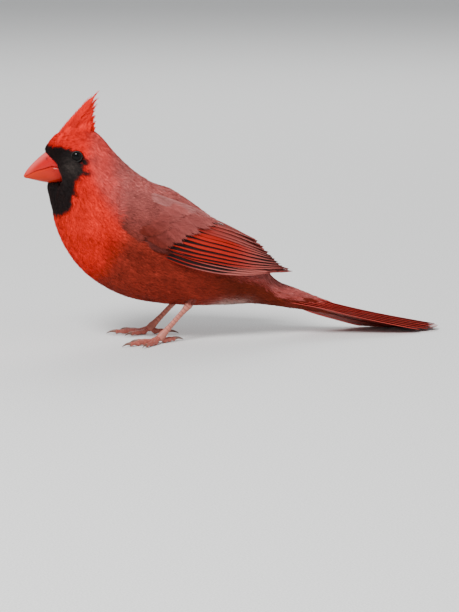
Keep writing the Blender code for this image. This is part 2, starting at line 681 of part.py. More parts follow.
def tail_coverts():
    """The soft coverts that wrap the tail's root, from the rump's end to a thin edge."""
    angle = np.linspace(0, 2 * pi, 20, endpoint=False)
    first = body_point(np.full(20, TAIL_AT), angle)
    normal = np.cross(first[5] - first[0], first[10] - first[0])
    normal *= np.sign(normal[0]) / np.linalg.norm(normal)
    rings = [first + normal * GAP / 2]
    for along, high, low, half in TAIL_COVERTS:
        place, _, right, up = tail_frame(np.array(along))
        level = (high + low) / 2 + (high - low) / 2 * np.cos(angle)
        side = half * np.sin(angle)
        rings.append(place + right * side[:, None] + up * level[:, None])
    return loft("tail coverts", rings)


def tail():
    whole = joined([tail_coverts(), *tail_feathers()])
    whole.name = "tail"
    return cut(whole, floor_cutter())


def tube(name, line, deep, wide, columns=8):
    """A tapering limb: deep is its radius fore and aft, wide its radius across."""
    line = np.asarray(line, float)
    along = normalised(np.gradient(line, axis=0))
    side = normalised(np.cross(along, (0.0, 0.0, 1.0)))
    fore = np.cross(side, along)
    angle = np.linspace(0, 2 * pi, columns, endpoint=False)
    rings = [p + np.outer(np.cos(angle), f * d) + np.outer(np.sin(angle), s * w)
             for p, f, s, d, w in zip(line, fore, side, deep, wide)]
    return loft(name, rings)


def leg_line(hand, share):
    return between(ANKLE, FOOT, share) * (1, hand, 1)


def thigh(side, hand):
    """The feathered end of the upper leg, cut back to the belly."""
    top, low = np.array(THIGH_TOP) * (1, hand, 1), leg_line(hand, 0)
    low = low + normalised(top - low) * (THIGH_SHORT + GAP)
    share = np.linspace(0, 1, 6)
    line = [between(top, low, s) for s in share]
    radii = THIGH_RADII[0] + (THIGH_RADII[1] - THIGH_RADII[0]) * share**0.8
    limb = tube(f"thigh_{side}", line, radii, radii * 0.9, 12)
    return cut(limb, belly_with_gap())


def belly_with_gap():
    """The torso grown by the gap, to be cut from what touches it."""
    u = np.linspace(TORSO_AT, TAIL_AT - 0.3, 20)[:, None]
    angle = np.linspace(0, 2 * pi, 32, endpoint=False)[None, :]
    rings = section_point(BODY, u + 0 * angle, angle + 0 * u)
    middle = rings.mean(1, keepdims=True)
    return loft("belly", rings + normalised(rings - middle) * GAP)


def shank(side, hand):
    share = np.linspace(0, 1, 7)
    line = [leg_line(hand, s * SHANK_END) for s in share]
    deep = spline(SHANK_DEEP, share * (len(SHANK_DEEP) - 1))
    wide = spline(SHANK_WIDE, share * (len(SHANK_WIDE) - 1))
    return tube(f"shank_{side}", line, deep, wide)


def toe_line(side, hand, toe, share):
    """A point on a toe's middle line: it leaves the foot and comes down to the floor."""
    direction, length, _, radius = TOES[toe]
    yaw = direction + FOOT_YAW[side]
    heading = np.array((-cos(yaw), hand * sin(yaw), 0))
    start = np.array(FOOT) * (1, hand, 1)
    height = radius * TOE_HEIGHT + (start[2] - radius * TOE_HEIGHT) * (1 - smooth_step(share / 0.35))
    return np.array((*(start + heading * length * share)[:2], height))


def foot(side, hand):
    """The foot: the shank's lower end, the ball and four toes with pads under their joints."""
    gap = GAP / np.linalg.norm(np.subtract(ANKLE, FOOT))
    stub_line = [leg_line(hand, s) for s in (SHANK_END + gap, 0.9, 1.0)]
    pieces = [tube("stub", stub_line, (1.6, 1.8, 1.9), (1.4, 1.7, 1.8))]
    pieces.append(ball("ball", np.array(FOOT) * (1, hand, 1) - (0, 0, 0.5), (2.5, 2.2, 1.9), 12, 8))
    for toe, (_, length, _, radius) in TOES.items():
        share = np.linspace(0, 1, max(6, int(length / 2.0)))
        line = [toe_line(side, hand, toe, s) for s in share]
        pads = 1 + PAD_SWELL * np.cos(2 * pi * share * (1 + round(length / 6)))
        radii = radius * pads * (1.12 - 0.34 * share)
        pieces.append(tube("toe", line, radii, radii * 0.92))
    whole = joined(pieces)
    whole.name = f"foot_{side}"
    return cut(whole, floor_cutter())


def claws(side, hand):
    """One curved claw for each toe, its tip just clear of the floor."""
    made = []
    for toe, (_, length, claw, radius) in TOES.items():
        end, before = toe_line(side, hand, toe, 1.0), toe_line(side, hand, toe, 0.9)
        ahead = normalised(end - before)
        t = np.linspace(0, 1, 6)
        start = end + ahead * 1.5 * GAP
        rise = 0.5 * np.sin(pi * t * 0.85)
        height = start[2] + rise - (start[2] - CLAW_LIFT) * t**1.7
        line = start + np.outer(t * claw * 0.92, ahead)
        line[:, 2] = height
        radii = radius * 0.62 * (1 - 0.86 * t)
        made.append(tube(f"claw_{side}_{toe}", line, radii * 1.15, radii * 0.8, 6))
    return made


def legs():
    made = []
    for side, hand in (("left", -1), ("right", 1)):
        made += [thigh(side, hand), shank(side, hand), foot(side, hand), *claws(side, hand)]
    return made


def material(name):
    colour, roughness, metallic = COLOURS[name]
    made = bpy.data.materials.new(name)
    made.use_nodes = True
    shader = made.node_tree.nodes["Principled BSDF"]
    shader.inputs["Base Color"].default_value = (*colour, 1)
    shader.inputs["Roughness"].default_value = roughness
    shader.inputs["Metallic"].default_value = metallic
    return made


def colour_of(name):
    for start, colour in (("bill", "bill"), ("eye", "eye"), ("claw", "claw"), ("shank", "leg"),
                          ("foot", "leg"), ("wing", "dusky_red"), ("tail", "dusky_red")):
        if name.startswith(start):
            return colour
    return "red"


def build():
    for old in list(bpy.data.objects):
        bpy.data.objects.remove(old)
    left = wing_left()
    left.name = "wing_left"
    neck = part_of_body("neck", NECK_AT, TORSO_AT, 6, 24)
    parts = [head(), neck, torso(), tail(), left, mirrored(left, "wing_right"), *bill(), *eyes(), *legs()]
    bird = bpy.data.collections.new("northern_cardinal")
    bpy.context.scene.collection.children.link(bird)
    materials = {name: material(name) for name in COLOURS}
    corners = np.array([tuple(v.co) for part in parts for v in part.data.vertices])
    middle = (corners.min(0) + corners.max(0)) / 2 * (1, 1, 0)
    for part in parts:
        bpy.context.scene.collection.objects.unlink(part)
        bird.objects.link(part)
        part.data.transform(Matrix.Translation(-Vector(middle)))
        part.data.materials.clear()
        part.data.materials.append(materials[colour_of(part.name)])
        part.data.shade_smooth()
        part.data.set_sharp_from_angle(angle=radians(40))


build()
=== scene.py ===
"""The looks of a male northern cardinal: its plumage, bill, eyes, legs, floor and light.

All shapes are worked out in millimetres about a point on the floor between the bird's feet,
as in its solids, and are moved to the solids' place when a mesh is made. The bird faces -X
and its left side is -Y.
"""

from math import cos, pi, radians, sin

import bpy
import numpy as np
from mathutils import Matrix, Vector


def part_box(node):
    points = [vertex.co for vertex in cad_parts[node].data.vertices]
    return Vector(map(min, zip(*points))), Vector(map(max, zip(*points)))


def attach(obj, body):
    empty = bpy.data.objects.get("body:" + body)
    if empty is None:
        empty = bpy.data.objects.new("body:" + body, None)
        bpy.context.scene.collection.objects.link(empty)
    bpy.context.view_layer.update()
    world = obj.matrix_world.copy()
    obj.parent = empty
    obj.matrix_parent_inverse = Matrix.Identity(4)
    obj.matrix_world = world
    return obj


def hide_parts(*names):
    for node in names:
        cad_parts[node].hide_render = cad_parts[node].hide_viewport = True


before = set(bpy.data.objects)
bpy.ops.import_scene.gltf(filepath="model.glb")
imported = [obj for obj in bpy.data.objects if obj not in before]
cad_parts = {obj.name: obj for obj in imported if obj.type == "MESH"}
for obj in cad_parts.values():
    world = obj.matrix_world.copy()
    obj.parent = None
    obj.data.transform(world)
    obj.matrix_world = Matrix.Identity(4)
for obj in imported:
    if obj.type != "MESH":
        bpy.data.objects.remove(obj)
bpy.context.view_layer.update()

MM = 0.001
SEED = 7
SIDES = (("left", -1), ("right", 1))

# The body as leaning sections through the back and the belly: back x, back z, belly x,
# belly z, half width, height of the widest point, squareness
BODY = (
    (-59.2, 95.6, -50.6, 79.0, 5.6, 0.50, 2.0),
    (-57.6, 98.6, -50.9, 76.4, 8.2, 0.47, 2.1),
    (-53.4, 103.4, -52.6, 73.0, 10.6, 0.45, 2.2),
    (-47.0, 106.2, -54.6, 69.0, 12.4, 0.46, 2.2),
    (-39.5, 107.0, -54.9, 63.7, 13.8, 0.48, 2.15),
    (-32.0, 103.0, -52.9, 56.0, 14.9, 0.46, 2.1),
    (-24.8, 94.4, -48.6, 46.6, 17.0, 0.44, 2.1),
    (-15.5, 85.2, -41.8, 37.2, 19.6, 0.45, 2.1),
    (-4.9, 77.8, -32.1, 29.1, 21.6, 0.47, 2.15),
    (6.8, 70.6, -19.4, 22.6, 22.4, 0.48, 2.2),
    (18.5, 62.0, -5.8, 19.3, 21.6, 0.48, 2.2),
    (29.1, 53.0, 7.8, 17.6, 19.4, 0.48, 2.2),
    (37.9, 45.0, 21.4, 16.8, 16.0, 0.50, 2.15),
    (45.2, 38.8, 33.0, 16.6, 12.6, 0.52, 2.1),
    (51.5, 34.2, 43.7, 16.8, 9.8, 0.55, 2.1),
)
# The station where the tail's coverts start
TAIL_AT = 14.0
# How finely the body is cut into rows and columns, and the part behind the last section
BODY_ROWS, BODY_COLUMNS, REAR_ROWS = 300, 200, 90

# At each station, front to back: how far the skin lies under the coat's outer shape, and how
# long the coat's tufts are
SKIN_DEPTHS = (0.45, 0.5, 0.6, 0.7, 0.9, 1.1, 1.3, 1.5, 1.6, 1.6, 1.6, 1.6, 1.5, 1.4, 1.3, 1.2, 1.1,
               1.0, 0.9)
COAT_SIZES = (1.5, 1.7, 2.0, 2.6, 3.2, 4.0, 4.8, 5.6, 6.2, 6.8, 7.2, 7.4, 7.6, 8.0, 8.6, 9.5, 10.0,
              10.0, 9.0)

# Each piece of coat: slot, first and last station, how many tufts
COAT_PIECES = (
    ("coat_face", "head_feathers", 0.0, 2.3, 5000),
    ("coat_crown", "head_feathers", 2.3, 4.4, 4900),
    ("coat_neck", "head_feathers", 4.4, 6.4, 4900),
    ("coat_breast", "body_feathers", 6.4, 8.0, 4900),
    ("coat_flank", "body_feathers", 8.0, 9.8, 4700),
    ("coat_belly", "body_feathers", 9.8, 12.0, 4700),
    ("coat_rump", "body_feathers", 12.0, 14.6, 4400),
    ("coat_tail_root", "tail_feathers", 14.6, 17.6, 2600),
)
CHIN_TUFTS, THIGH_TUFTS, TUFT_BARBS = 1500, 520, 7
# How much deeper the skin lies under the bill, how dark it is, and how wide a tuft is for its
# length
BARE_DEPTH, SKIN_SHADE, TUFT_WIDTH = 1.3, 0.62, 0.42
# Where there is no coat: this far inside the wing's outline, this far off the middle and between
# these stations, and this far inside the bill's outline
UNDER_WING, UNDER_WING_OFF, UNDER_WING_AT, UNDER_BILL = -2.6, 9, (6, 14), -1.0

# The shape that the folded wings lie on, in the same terms as the body
WING_BED = (
    (-24.8, 94.0, -48.6, 46.6, 17.6, 0.44, 2.1),
    (-15.5, 85.0, -41.8, 37.2, 20.8, 0.45, 2.1),
    (-4.9, 77.8, -32.1, 29.1, 23.0, 0.47, 2.15),
    (6.8, 71.4, -19.4, 22.6, 24.0, 0.48, 2.2),
    (18.5, 64.6, -5.8, 19.3, 23.6, 0.48, 2.2),
    (30.1, 58.0, 7.8, 17.6, 22.0, 0.48, 2.2),
    (40.8, 50.8, 21.4, 16.8, 19.3, 0.48, 2.15),
    (49.5, 43.2, 35.0, 16.2, 16.0, 0.48, 2.1),
    (57.3, 36.2, 47.6, 15.5, 12.8, 0.48, 2.1),
    (66.1, 32.2, 59.3, 15.2, 10.0, 0.48, 2.1),
)

# How often the search for a place on the bed halves its range, and how near it comes to the
# bed's upper and lower edge, as a share
BED_HALVINGS, MOST_RISE = 26, 0.995

# How far the head looks aside, the axis it turns about, and the stations where the turn is
# still whole and where there is none
HEAD_TURN = radians(-7)
TURN_PIVOT = np.array((-28.0, 0.0, 0.0))
TURN_WHOLE, TURN_NONE = 4.2, 7.0

# Swellings and hollows of the head: middle on the left side, reach, height
HEAD_RELIEF = (
    ((-47.0, -12.5, 84.0), 8.0, 1.1),
    ((-43.5, -13.0, 94.3), 4.6, -0.9),
    ((-55.5, -7.5, 92.5), 5.0, -0.7),
    ((-43.0, -9.5, 101.0), 5.0, 0.5),
)
# The chin's feathers under the bill, level by level: height, front x, back x, half width
CHIN = (
    (80.8, -55.6, -44.5, 4.4),
    (79.4, -57.6, -45.0, 5.8),
    (76.6, -57.8, -46.0, 6.6),
    (73.2, -57.0, -47.5, 6.8),
    (68.5, -56.0, -49.5, 7.6),
    (63.5, -54.6, -51.5, 6.6),
)

# The right eye before the head turns, and the way it looks
EYE_MIDDLE, EYE_RADIUS = (-43.5, 10.6, 94.2), 3.1
EYE_FACING = (-0.16, 1.0, 0.05)
# The lids' opening as angles off the eye's axis, at the corners and above and below
LID_WIDE, LID_TALL = radians(52), radians(46)
PUPIL = radians(34)
# The lids' section round the opening: degrees back from its edge, height over the eyeball
LID_SECTION = ((0, 0.05), (0.5, 0.18), (3, 0.26), (7, 0.24), (11, 0.08), (13, -0.1), (3, -0.05))
# How high the lids' small folds are, and how many go round
LID_PUCKER, LID_FOLDS = 0.05, 13

# The bill from tip to base: culmen x, z, mouth x, z, lower edge x, z, half width
BILL = (
    (-69.6, 83.3, -69.3, 82.8, -68.9, 82.3, 0.25),
    (-67.9, 86.2, -67.0, 84.1, -66.3, 81.7, 1.5),
    (-64.9, 89.6, -63.4, 86.0, -62.2, 80.7, 3.1),
    (-61.4, 92.8, -59.2, 87.3, -58.3, 79.9, 4.7),
    (-58.3, 95.2, -55.4, 88.5, -54.5, 79.5, 5.8),
    (-55.4, 96.6, -51.4, 87.9, -50.4, 79.7, 6.3),
)
NOSTRIL_MIDDLE, NOSTRIL_SIZE, NOSTRIL_DEEP = (-58.2, 4.5, 92.2), 0.55, 0.35
# How much the bill widens at its base, and the gap between its halves
BILL_FLARE, MOUTH_GAP = 1.2, 0.14
# The edge of the feathers round the bill's base, from the culmen down (x, z)
BILL_BORDER = ((-58.4, 95.6), (-53.4, 91.4), (-52.0, 88.3), (-50.6, 86.6), (-50.2, 79.9))

# The bristles on each side of the mouth: where the first one starts and how far it reaches, how
# these change from one to the next, and how thick their roots are
BRISTLES, BRISTLE_THICK = 9, 0.075
BRISTLE_ROOT, BRISTLE_ROOT_STEP = np.array((-51.6, 6.4, 85.6)), np.array((-0.35, -0.25, 0.9))
BRISTLE_AIM, BRISTLE_AIM_STEP = np.array((-3.0, 1.3, -1.2)), np.array((-0.2, 0.0, 0.25))

# Rows of crest feathers: first and last root, first and last tip (x, z), count a side, width
CREST_ROWS = (
    ((-48.2, 102.8), (-38.0, 104.8), (-34.4, 121.8), (-35.4, 107.4), 11, 4.2),
    ((-50.8, 101.6), (-41.0, 104.4), (-38.2, 117.8), (-34.8, 110.4), 9, 4.0),
    ((-53.0, 100.2), (-46.0, 103.8), (-43.0, 112.8), (-37.6, 114.0), 8, 3.8),
    ((-55.2, 98.2), (-49.5, 102.4), (-48.4, 107.0), (-42.0, 111.2), 7, 3.4),
    ((-57.2, 96.8), (-53.5, 100.4), (-53.4, 102.2), (-47.4, 107.4), 6, 2.8),
)
# How far their roots and tips are from the middle, and how much they bow
CREST_ROOT_SIDE, CREST_TIP_SIDE, CREST_BOW = 3.6, 0.7, 0.04
# Short feathers on both sides of the crown that run up into the crest: as above, and how far
# their roots and tips are from the middle
CREST_SIDES = (
    ((-51.0, 101.2), (-38.8, 103.0), (-46.0, 108.4), (-37.0, 108.8), 7, 4.2, 6.0, 2.6),
    ((-53.0, 99.4), (-40.0, 101.2), (-49.2, 104.8), (-38.4, 106.2), 7, 4.2, 8.0, 4.8),
)
# The low keel under the crest: front x, z and half width, then back x, z
CREST_CORE = ((-57.0, 96.8, 2.6), (-51.2, 103.4, 3.0), (-45.0, 108.4, 2.2), (-40.5, 110.8, 0.9))
CREST_CORE_BACK = ((-50.5, 97.0), (-44.0, 100.5), (-38.5, 105.0), (-37.4, 108.8))

# The folded wing's lower and upper edge from its front, and its tip, as seen from the left (x, z)
WING_LOWER = ((-29.6, 62.0), (-21.0, 53.6), (-7.4, 47.2), (8.3, 41.8), (22.8, 38.0), (37.7, 35.6))
WING_UPPER = ((-27.5, 76.0), (-18.0, 80.2), (-3.5, 75.4), (9.0, 68.6), (21.5, 61.4), (31.0, 55.8))
WING_TIP = (60.0, 32.0)
WING_OUTLINE = (*WING_LOWER, WING_TIP, *WING_UPPER[::-1])

# Rows of wing feathers, low ones first: lines of their roots and tips (x, z), how many, width
# at each end, share of the width below the shaft, height over the bed at root and tip, how far
# the upper edge dips, and how much the row's first and last feather sag, with - for a rise
WING_ROWS = {
    "primaries": (
        ((-9.0, 47.6), (-2.0, 49.8)), ((51.0, 34.0), (58.5, 33.4), (64.4, 31.8)),
        4, (5.8, 6.2), 0.34, (0.1, 0.7), 1.7, (0.045, 0.010)),
    "secondaries": (
        ((-6.0, 50.0), (8.0, 57.6)), ((59.6, 33.8), (57.4, 35.8), (53.2, 39.2)),
        7, (6.4, 6.4), 0.36, (0.26, 1.25), 1.8, (0.004, -0.036)),
    "tertials": (
        ((9.0, 60.0), (17.0, 61.0)), ((52.6, 39.8), (50.4, 42.6), (46.2, 46.8)),
        4, (5.6, 5.2), 0.52, (0.37, 1.5), 1.9, (-0.034, -0.026)),
    "primary_coverts": (
        ((-18.0, 53.0), (-12.0, 54.6)), ((-1.0, 47.6), (-4.0, 49.6)),
        4, (3.2, 3.6), 0.45, (0.19, 1.5), 0.9, (0.03, 0.0)),
    "greater_coverts": (
        ((-15.0, 57.4), (1.0, 67.6)), ((-3.6, 49.6), (5.4, 53.0), (23.6, 57.8)),
        12, (4.6, 6.6), 0.45, (0.33, 2.0), 1.2, (0.02, -0.02)),
    "median_coverts": (
        ((-19.5, 60.4), (-5.0, 70.8)), ((-9.0, 55.4), (9.0, 64.8)),
        10, (4.6, 5.8), 0.45, (0.41, 2.3), 1.0, (0.03, 0.0)),
    "scapulars": (
        ((-15.5, 75.6), (-3.0, 70.8)), ((1.0, 68.4), (22.0, 59.4)),
        7, (6.0, 5.6), 0.50, (0.34, 2.0), 0.8, (0.0, -0.02)),
}
FLIGHT_ROWS = ("primaries", "secondaries", "tertials")
# Where a flight feather leaves the bed and runs straight
STRAIGHT_FROM = 0.8
# Where a flight feather starts to narrow, and how pointed it is
BLADES = {
    "primaries": {"round_from": 0.70, "point": 0.6},
    "secondaries": {"round_from": 0.5, "point": 0.8},
    "tertials": {"round_from": 0.35, "point": 1.1},
}
VANE_THICK = 0.3
# How far a flight feather's lower edge stands over the feather below it, and how much higher
# each of them lies than the last
SHINGLE, SHINGLE_STEP = 0.3, 0.05
# How much higher every other covert lies, and the points along a flight feather and a covert
COVERT_STEP, FLIGHT_STEPS, COVERT_STEPS = 0.12, 30, 12
# How much more of the lowest secondary is dark, and how a covert's rim differs from its middle
DARK_BELOW, COVERT_RIM = 0.9, np.array((1.3, 1.5, 1.5))
# The small feathers of the wing's front, as tufts: how high they lie over the bed, how many,
# and how far back they reach along the wing's lower and upper edge
SHOULDER_LIFT, SHOULDER_TUFTS, SHOULDER_ENDS = 2.0, 2200, (1.0, 2.1)
# The patch of skin under the folded wing: height of its top and bottom over the bed, how far it
# keeps from the wing's edges, and how far back it reaches
WING_CORE_HIGH, WING_CORE_DEEP, WING_CORE_MARGIN, WING_CORE_END = -0.3, -3.0, -0.3, 4.4
# How much the coat swells along the folded wing's edge and at its front, and how far off
RISE_ALONG, RISE_FRONT, RISE_REACH = 0.5, 2.6, 6.0
# How much the coat of the back swells between the wings
RISE_BETWEEN = 2.2

# The tail's root (x, z), how steeply the tail drops there and at its tip, and how far it rolls
TAIL_ROOT = (46.0, 27.4)
TAIL_DROP_ROOT, TAIL_DROP_TIP = radians(20.5), radians(9.5)
TAIL_ROLL = radians(16)
# Each tail feather's length from the middle outwards, and where the feathers start
TAIL_LENGTHS = (97.0, 98.0, 97.0, 95.0, 92.0, 87.0)
TAIL_START = 9.0
# The gap beside the middle of the tail, how far apart its feathers lie at the root and the tip,
# how much lower each lies than the last, and the outer web's share of a feather's width
TAIL_GAP, TAIL_SPREAD = 0.6, (0.7, 1.9)
TAIL_STEP, TAIL_ARCH = 0.85, 0.010
TAIL_WIDTH, TAIL_OUTER_SHARE = 11.0, 0.42
# How far the tips of the left and the right feathers lean aside
TAIL_LEAN = ((-1.2, -1.6, -1.5, 0.6, 0.9, 0.4), (0.3, 0.2, 1.6, 1.8, 0.6, 0.2))
# Sections of the coverts round the tail's root: place along it, top, bottom, half width
TAIL_COVERTS = (
    (11.0, 3.6, -8.6, 8.6),
    (22.0, 2.6, -6.8, 7.8),
    (32.0, 1.4, -5.4, 6.6),
    (40.0, 0.6, -4.6, 4.8),
)

# The leg's joints on the right side, the thigh's top and its radii at both ends, and the shank's
# radii fore and aft and across
ANKLE, FOOT = (10.2, 12.2, 18.4), (-4.6, 13.8, 2.9)
THIGH_TOP, THIGH_RADII = (15.5, 10.5, 29.5), (6.4, 2.0)
SHANK_DEEP, SHANK_WIDE = (1.9, 1.35, 1.3, 1.35, 1.6), (1.5, 1.05, 0.95, 1.0, 1.4)
FOOT_YAW = {"left": radians(20), "right": radians(8)}
# Toes: direction from straight ahead with + outwards, bone length, claw length, radius
TOES = {
    "hallux": (radians(187), 9.0, 6.4, 1.35),
    "inner": (radians(-32), 11.0, 4.8, 1.20),
    "middle": (radians(0), 17.0, 5.4, 1.30),
    "outer": (radians(29), 13.0, 4.8, 1.20),
}
# How high a toe's middle line lies for its radius, and how many rings a toe has to a millimetre
TOE_HEIGHT, TOE_RINGS = 1.15, 6
# How far a claw's root is sunk in the toe, its arch, its tip's height, and its thickness as a
# share of the toe's
CLAW_SUNK, CLAW_ARCH, CLAW_LIFT, CLAW_THICK = 0.5, 0.5, 0.25, 0.66
# Where the shank ends, as a share of the line from the ankle to the foot
SHANK_END = 0.82
# The foot's radius at places along the leg's line
FOOT_AT, FOOT_DEEP = (SHANK_END, 0.9, 1.03), (1.6, 1.8, 1.9)
# How many sides a leg and a toe have, and how much narrower than deep the foot is
LEG_SIDES, FOOT_FLAT = 24, 0.92

# The black mask and bib as seen from the side (x, z), before the head turns, and how much
# the bib's lower edge rises towards its sides
BIB_ROUND = 0.02
MASK = (
    (-62.0, 97.0), (-57.8, 97.6), (-52.4, 98.0), (-47.7, 97.4), (-45.8, 97.2), (-42.9, 97.2),
    (-40.6, 95.8), (-39.9, 93.8), (-40.8, 91.4), (-42.8, 90.6), (-42.6, 90.0), (-37.4, 88.8),
    (-42.2, 87.2), (-45.0, 85.4), (-46.2, 82.2), (-47.0, 79.4), (-44.8, 77.8), (-47.2, 76.4),
    (-47.4, 69.4), (-49.5, 66.2), (-52.5, 65.2), (-54.5, 65.6), (-62.0, 68.0),
)

# Where colours of the plumage begin, and over what length they come in: along x, up z, or by
# how far up the body's side from -1 to 1
BACK_BEHIND, BACK_ABOVE = (-37, 13), (0.05, 0.35)
NAPE_BEHIND, NAPE_ABOVE = (-43, 8), (0.2, 0.3)
# The rump's colour, duller and darkened as painted shade, comes in from behind
BREAST_BELOW, RUMP_SHADE_BEHIND = (90, -18), (8, 26)
# The belly's duller colour, darkened further as painted shade low and far back on the body, comes in along
# a slope, with these shares of x and of height
BELLY_SHADE_SLOPE, BELLY_SHADE_BEYOND = (1.6, 0.8), (-105, 25)
# Clouds of light and dark over the coat, and darker flecks in it: how strong, how large
CLOUDS, CLOUD_SIZE = 0.16, 9.0
FLECKS, FLECK_SIZE, FLECK_TINT = 0.35, 3.2, (0.6, 0.7, 0.7)
# Soft patches of colour: middle x, z and reach along x, z
VENT_PATCH = (27.0, 17.5, 9.0, 3.2)
EAR_PATCH = (-37.5, 94.5, 3.2, 2.0)
LORE_PATCH = (-48.5, 90.0, 3.6, 3.4)

# Colours of the plumage and the bare parts, as linear light
RED = np.array((0.72, 0.010, 0.006))
BREAST = np.array((0.68, 0.014, 0.006))
# The belly and the rump: a duller red of their own, darkened further as painted shade
BELLY_DULL_AND_SHADE = np.array((0.26, 0.025, 0.014))
RUMP_DULL_AND_SHADE = np.array((0.17, 0.020, 0.008))
NAPE = np.array((0.60, 0.090, 0.078))
BACK = np.array((0.39, 0.078, 0.070))
BACK_TIPS = np.array((0.46, 0.20, 0.18))
# Coverts from the lowest to the highest: their own tone, darker below as painted shade and paler above as
# painted light
COVERT_LOW_SHADED = np.array((0.135, 0.016, 0.010))
COVERT_HIGH_LIT = np.array((0.34, 0.082, 0.074))
SCAPULAR = np.array((0.38, 0.125, 0.115))
COVERT = np.array((0.29, 0.050, 0.043))
COVERT_EDGE = np.array((0.42, 0.105, 0.092))
TERTIAL = np.array((0.20, 0.034, 0.027))
OUTER_WEB = np.array((0.37, 0.016, 0.009))
INNER_WEB = np.array((0.014, 0.006, 0.006))
PRIMARY_EDGE = np.array((0.40, 0.10, 0.085))
TAIL_RED = np.array((0.50, 0.020, 0.012))
TAIL_EDGE = np.array((0.60, 0.075, 0.060))
TAIL_UNDER = np.array((0.20, 0.030, 0.022))
BLACK = np.array((0.010, 0.007, 0.007))
LORE = np.array((0.066, 0.052, 0.045))
VENT = np.array((0.60, 0.42, 0.38))
DOWN = np.array((0.10, 0.045, 0.042))
PUPIL_BLACK = np.array((0.002, 0.002, 0.002))
IRIS = np.array((0.005, 0.003, 0.002))
LID_GREY = np.array((0.008, 0.007, 0.007))
BILL_RED = np.array((0.46, 0.005, 0.008))
# A painted highlight on the upper mandible's ridge
BILL_RIDGE_HIGHLIGHT = np.array((0.85, 0.17, 0.16))
BILL_ORANGE = np.array((0.64, 0.032, 0.002))
# How much darker the bill's lower half is, as painted shade, and how both halves darken and turn more
# crimson at their base, partly their own colour and partly painted shade where they meet the feathers
BILL_SHADE, BILL_BASE = 0.82, (0.72, 0.55, 0.5)
MOUTH_COLOUR = (0.14, 0.012, 0.008)
LEG_PINK = np.array((0.46, 0.15, 0.11))
LEG_DARK = np.array((0.17, 0.055, 0.045))
TOE_TINT = np.array((0.92, 0.72, 0.72))
CLAW_BROWN = np.array((0.16, 0.070, 0.050))

# Rows of long coverts at the tail's root: station, length, angle of the row's middle from the
# back, how many, colour
TAIL_COVERT_ROWS = (
    (14.6, 13.0, 0.0, 7, BACK),
    (15.3, 14.0, 0.0, 8, BACK * 0.95),
    (15.0, 15.0, pi, 7, BELLY_DULL_AND_SHADE * 0.8),
    (15.9, 17.0, pi, 7, BELLY_DULL_AND_SHADE * 0.7),
)
# How far these rows reach round to each side
TAIL_COVERT_FAN = radians(84)

# Finishes: roughness, waves of the colour to a metre (then detail and stretch), its darkest and
# lightest share, the same of the relief with its strength and depth, and other values
FINISHES = {
    "feathers": (0.6, (900.0,), (0.82, 1.16), ((2600.0,), 0.35, 0.0001), {
        "Specular IOR Level": 0.08, "Sheen Weight": 0.08, "Sheen Roughness": 0.4,
        "Sheen Tint": (1.0, 0.30, 0.25, 1)}),
    "bill": (0.27, (260.0, 4.0, (0.35, 1, 1)), (0.84, 1.14),
             ((700.0, 4.0, (0.4, 1, 1)), 0.15, 0.0002), {"Specular IOR Level": 0.18}),
    "leg": (0.5, (1100.0,), (0.8, 1.2), ((1800.0,), 0.3, 0.0001), {"Specular IOR Level": 0.3}),
    "claw": (0.32, (900.0,), (0.8, 1.2), None, {}),
    "eye": (0.07, (1500.0,), (0.8, 1.2), None, {"Specular IOR Level": 0.12}),
    "lids": (0.6, (2200.0,), (0.7, 1.3), ((3000.0,), 0.4, 0.0001), {}),
}
# The strength and depth of the ridges that a vane's barbs make, how far apart they are in
# millimetres, and how dark
BARB_RELIEF, BARB_SPACING, BARB_SHADE = (0.5, 0.00004), 0.42, 0.07

# The floor, the lamps (place in millimetres, size in metres, power), the point in metres that
# they face, and the light all round
FLOOR_COLOUR, FLOOR_SIZE = (0.72, 0.72, 0.71), 16
LAMPS = {
    "key": ((-800, -900, 1300), 0.6, 44),
    "fill": ((900, -900, 600), 1.2, 4),
    "rim": ((300, 1100, 900), 0.8, 9),
}
LAMP_AIM = (0, 0, 0.06)
AROUND_COLOUR, AROUND_STRENGTH = (0.95, 0.97, 1.0, 1), 0.5

# The camera's direction, the picture's width in the bird's plane, and where it looks
CAMERA_AZIMUTH, CAMERA_HEIGHT = radians(-12), radians(10)
CAMERA_FAR, PICTURE_WIDTH = 1800.0, 229.5
CAMERA_AT = (32.85, 16.15)

rng = np.random.default_rng(SEED)


def spline(values, u):
    """A smooth curve through values at 0, 1, 2 and so on, read at u."""
    v = np.asarray(values, float)
    u = np.clip(np.asarray(u, float), 0, len(v) - 1)
    i = np.minimum(u.astype(int), len(v) - 2)
    f = u - i
    if v.ndim > 1:
        f = f.reshape(f.shape + (1,) * (v.ndim - 1))
    a, b, c, d = v[np.maximum(i - 1, 0)], v[i], v[i + 1], v[np.minimum(i + 2, len(v) - 1)]
    return b + 0.5 * f * (c - a + f * (2 * a - 5 * b + 4 * c - d + f * (3 * (b - c) + d - a)))


def smooth_step(t):
    t = np.clip(t, 0, 1)
    return t * t * (3 - 2 * t)


def ramp(value, start, length):
    """Rises smoothly from 0 at start to 1 a length further on."""
    return smooth_step((value - start) / length)


def bell(value, width):
    """1 at 0, and less on both sides of it."""
    return np.exp(-((value / width) ** 2))


def normalised(v):
    return v / np.maximum(np.linalg.norm(v, axis=-1, keepdims=True), 1e-9)


def mixed(a, b, share):
    share = np.asarray(share, float)[..., None]
    return a * (1 - share) + b * share


def between(a, b, share):
    """What lies at a share of the way from a to b."""
    a, b = np.asarray(a, float), np.asarray(b, float)
    return a + (b - a) * share


def circle(count):
    """Angles all round, evenly apart."""
    return np.linspace(0, 2 * pi, count, endpoint=False)


def on_side(place, hand):
    """A place or direction on its own side for 1, and on the other side for -1."""
    return np.array(place) * (1, hand, 1)


def parts(points):
    """The numbers of many points, kind by kind."""
    return np.moveaxis(points, -1, 0)


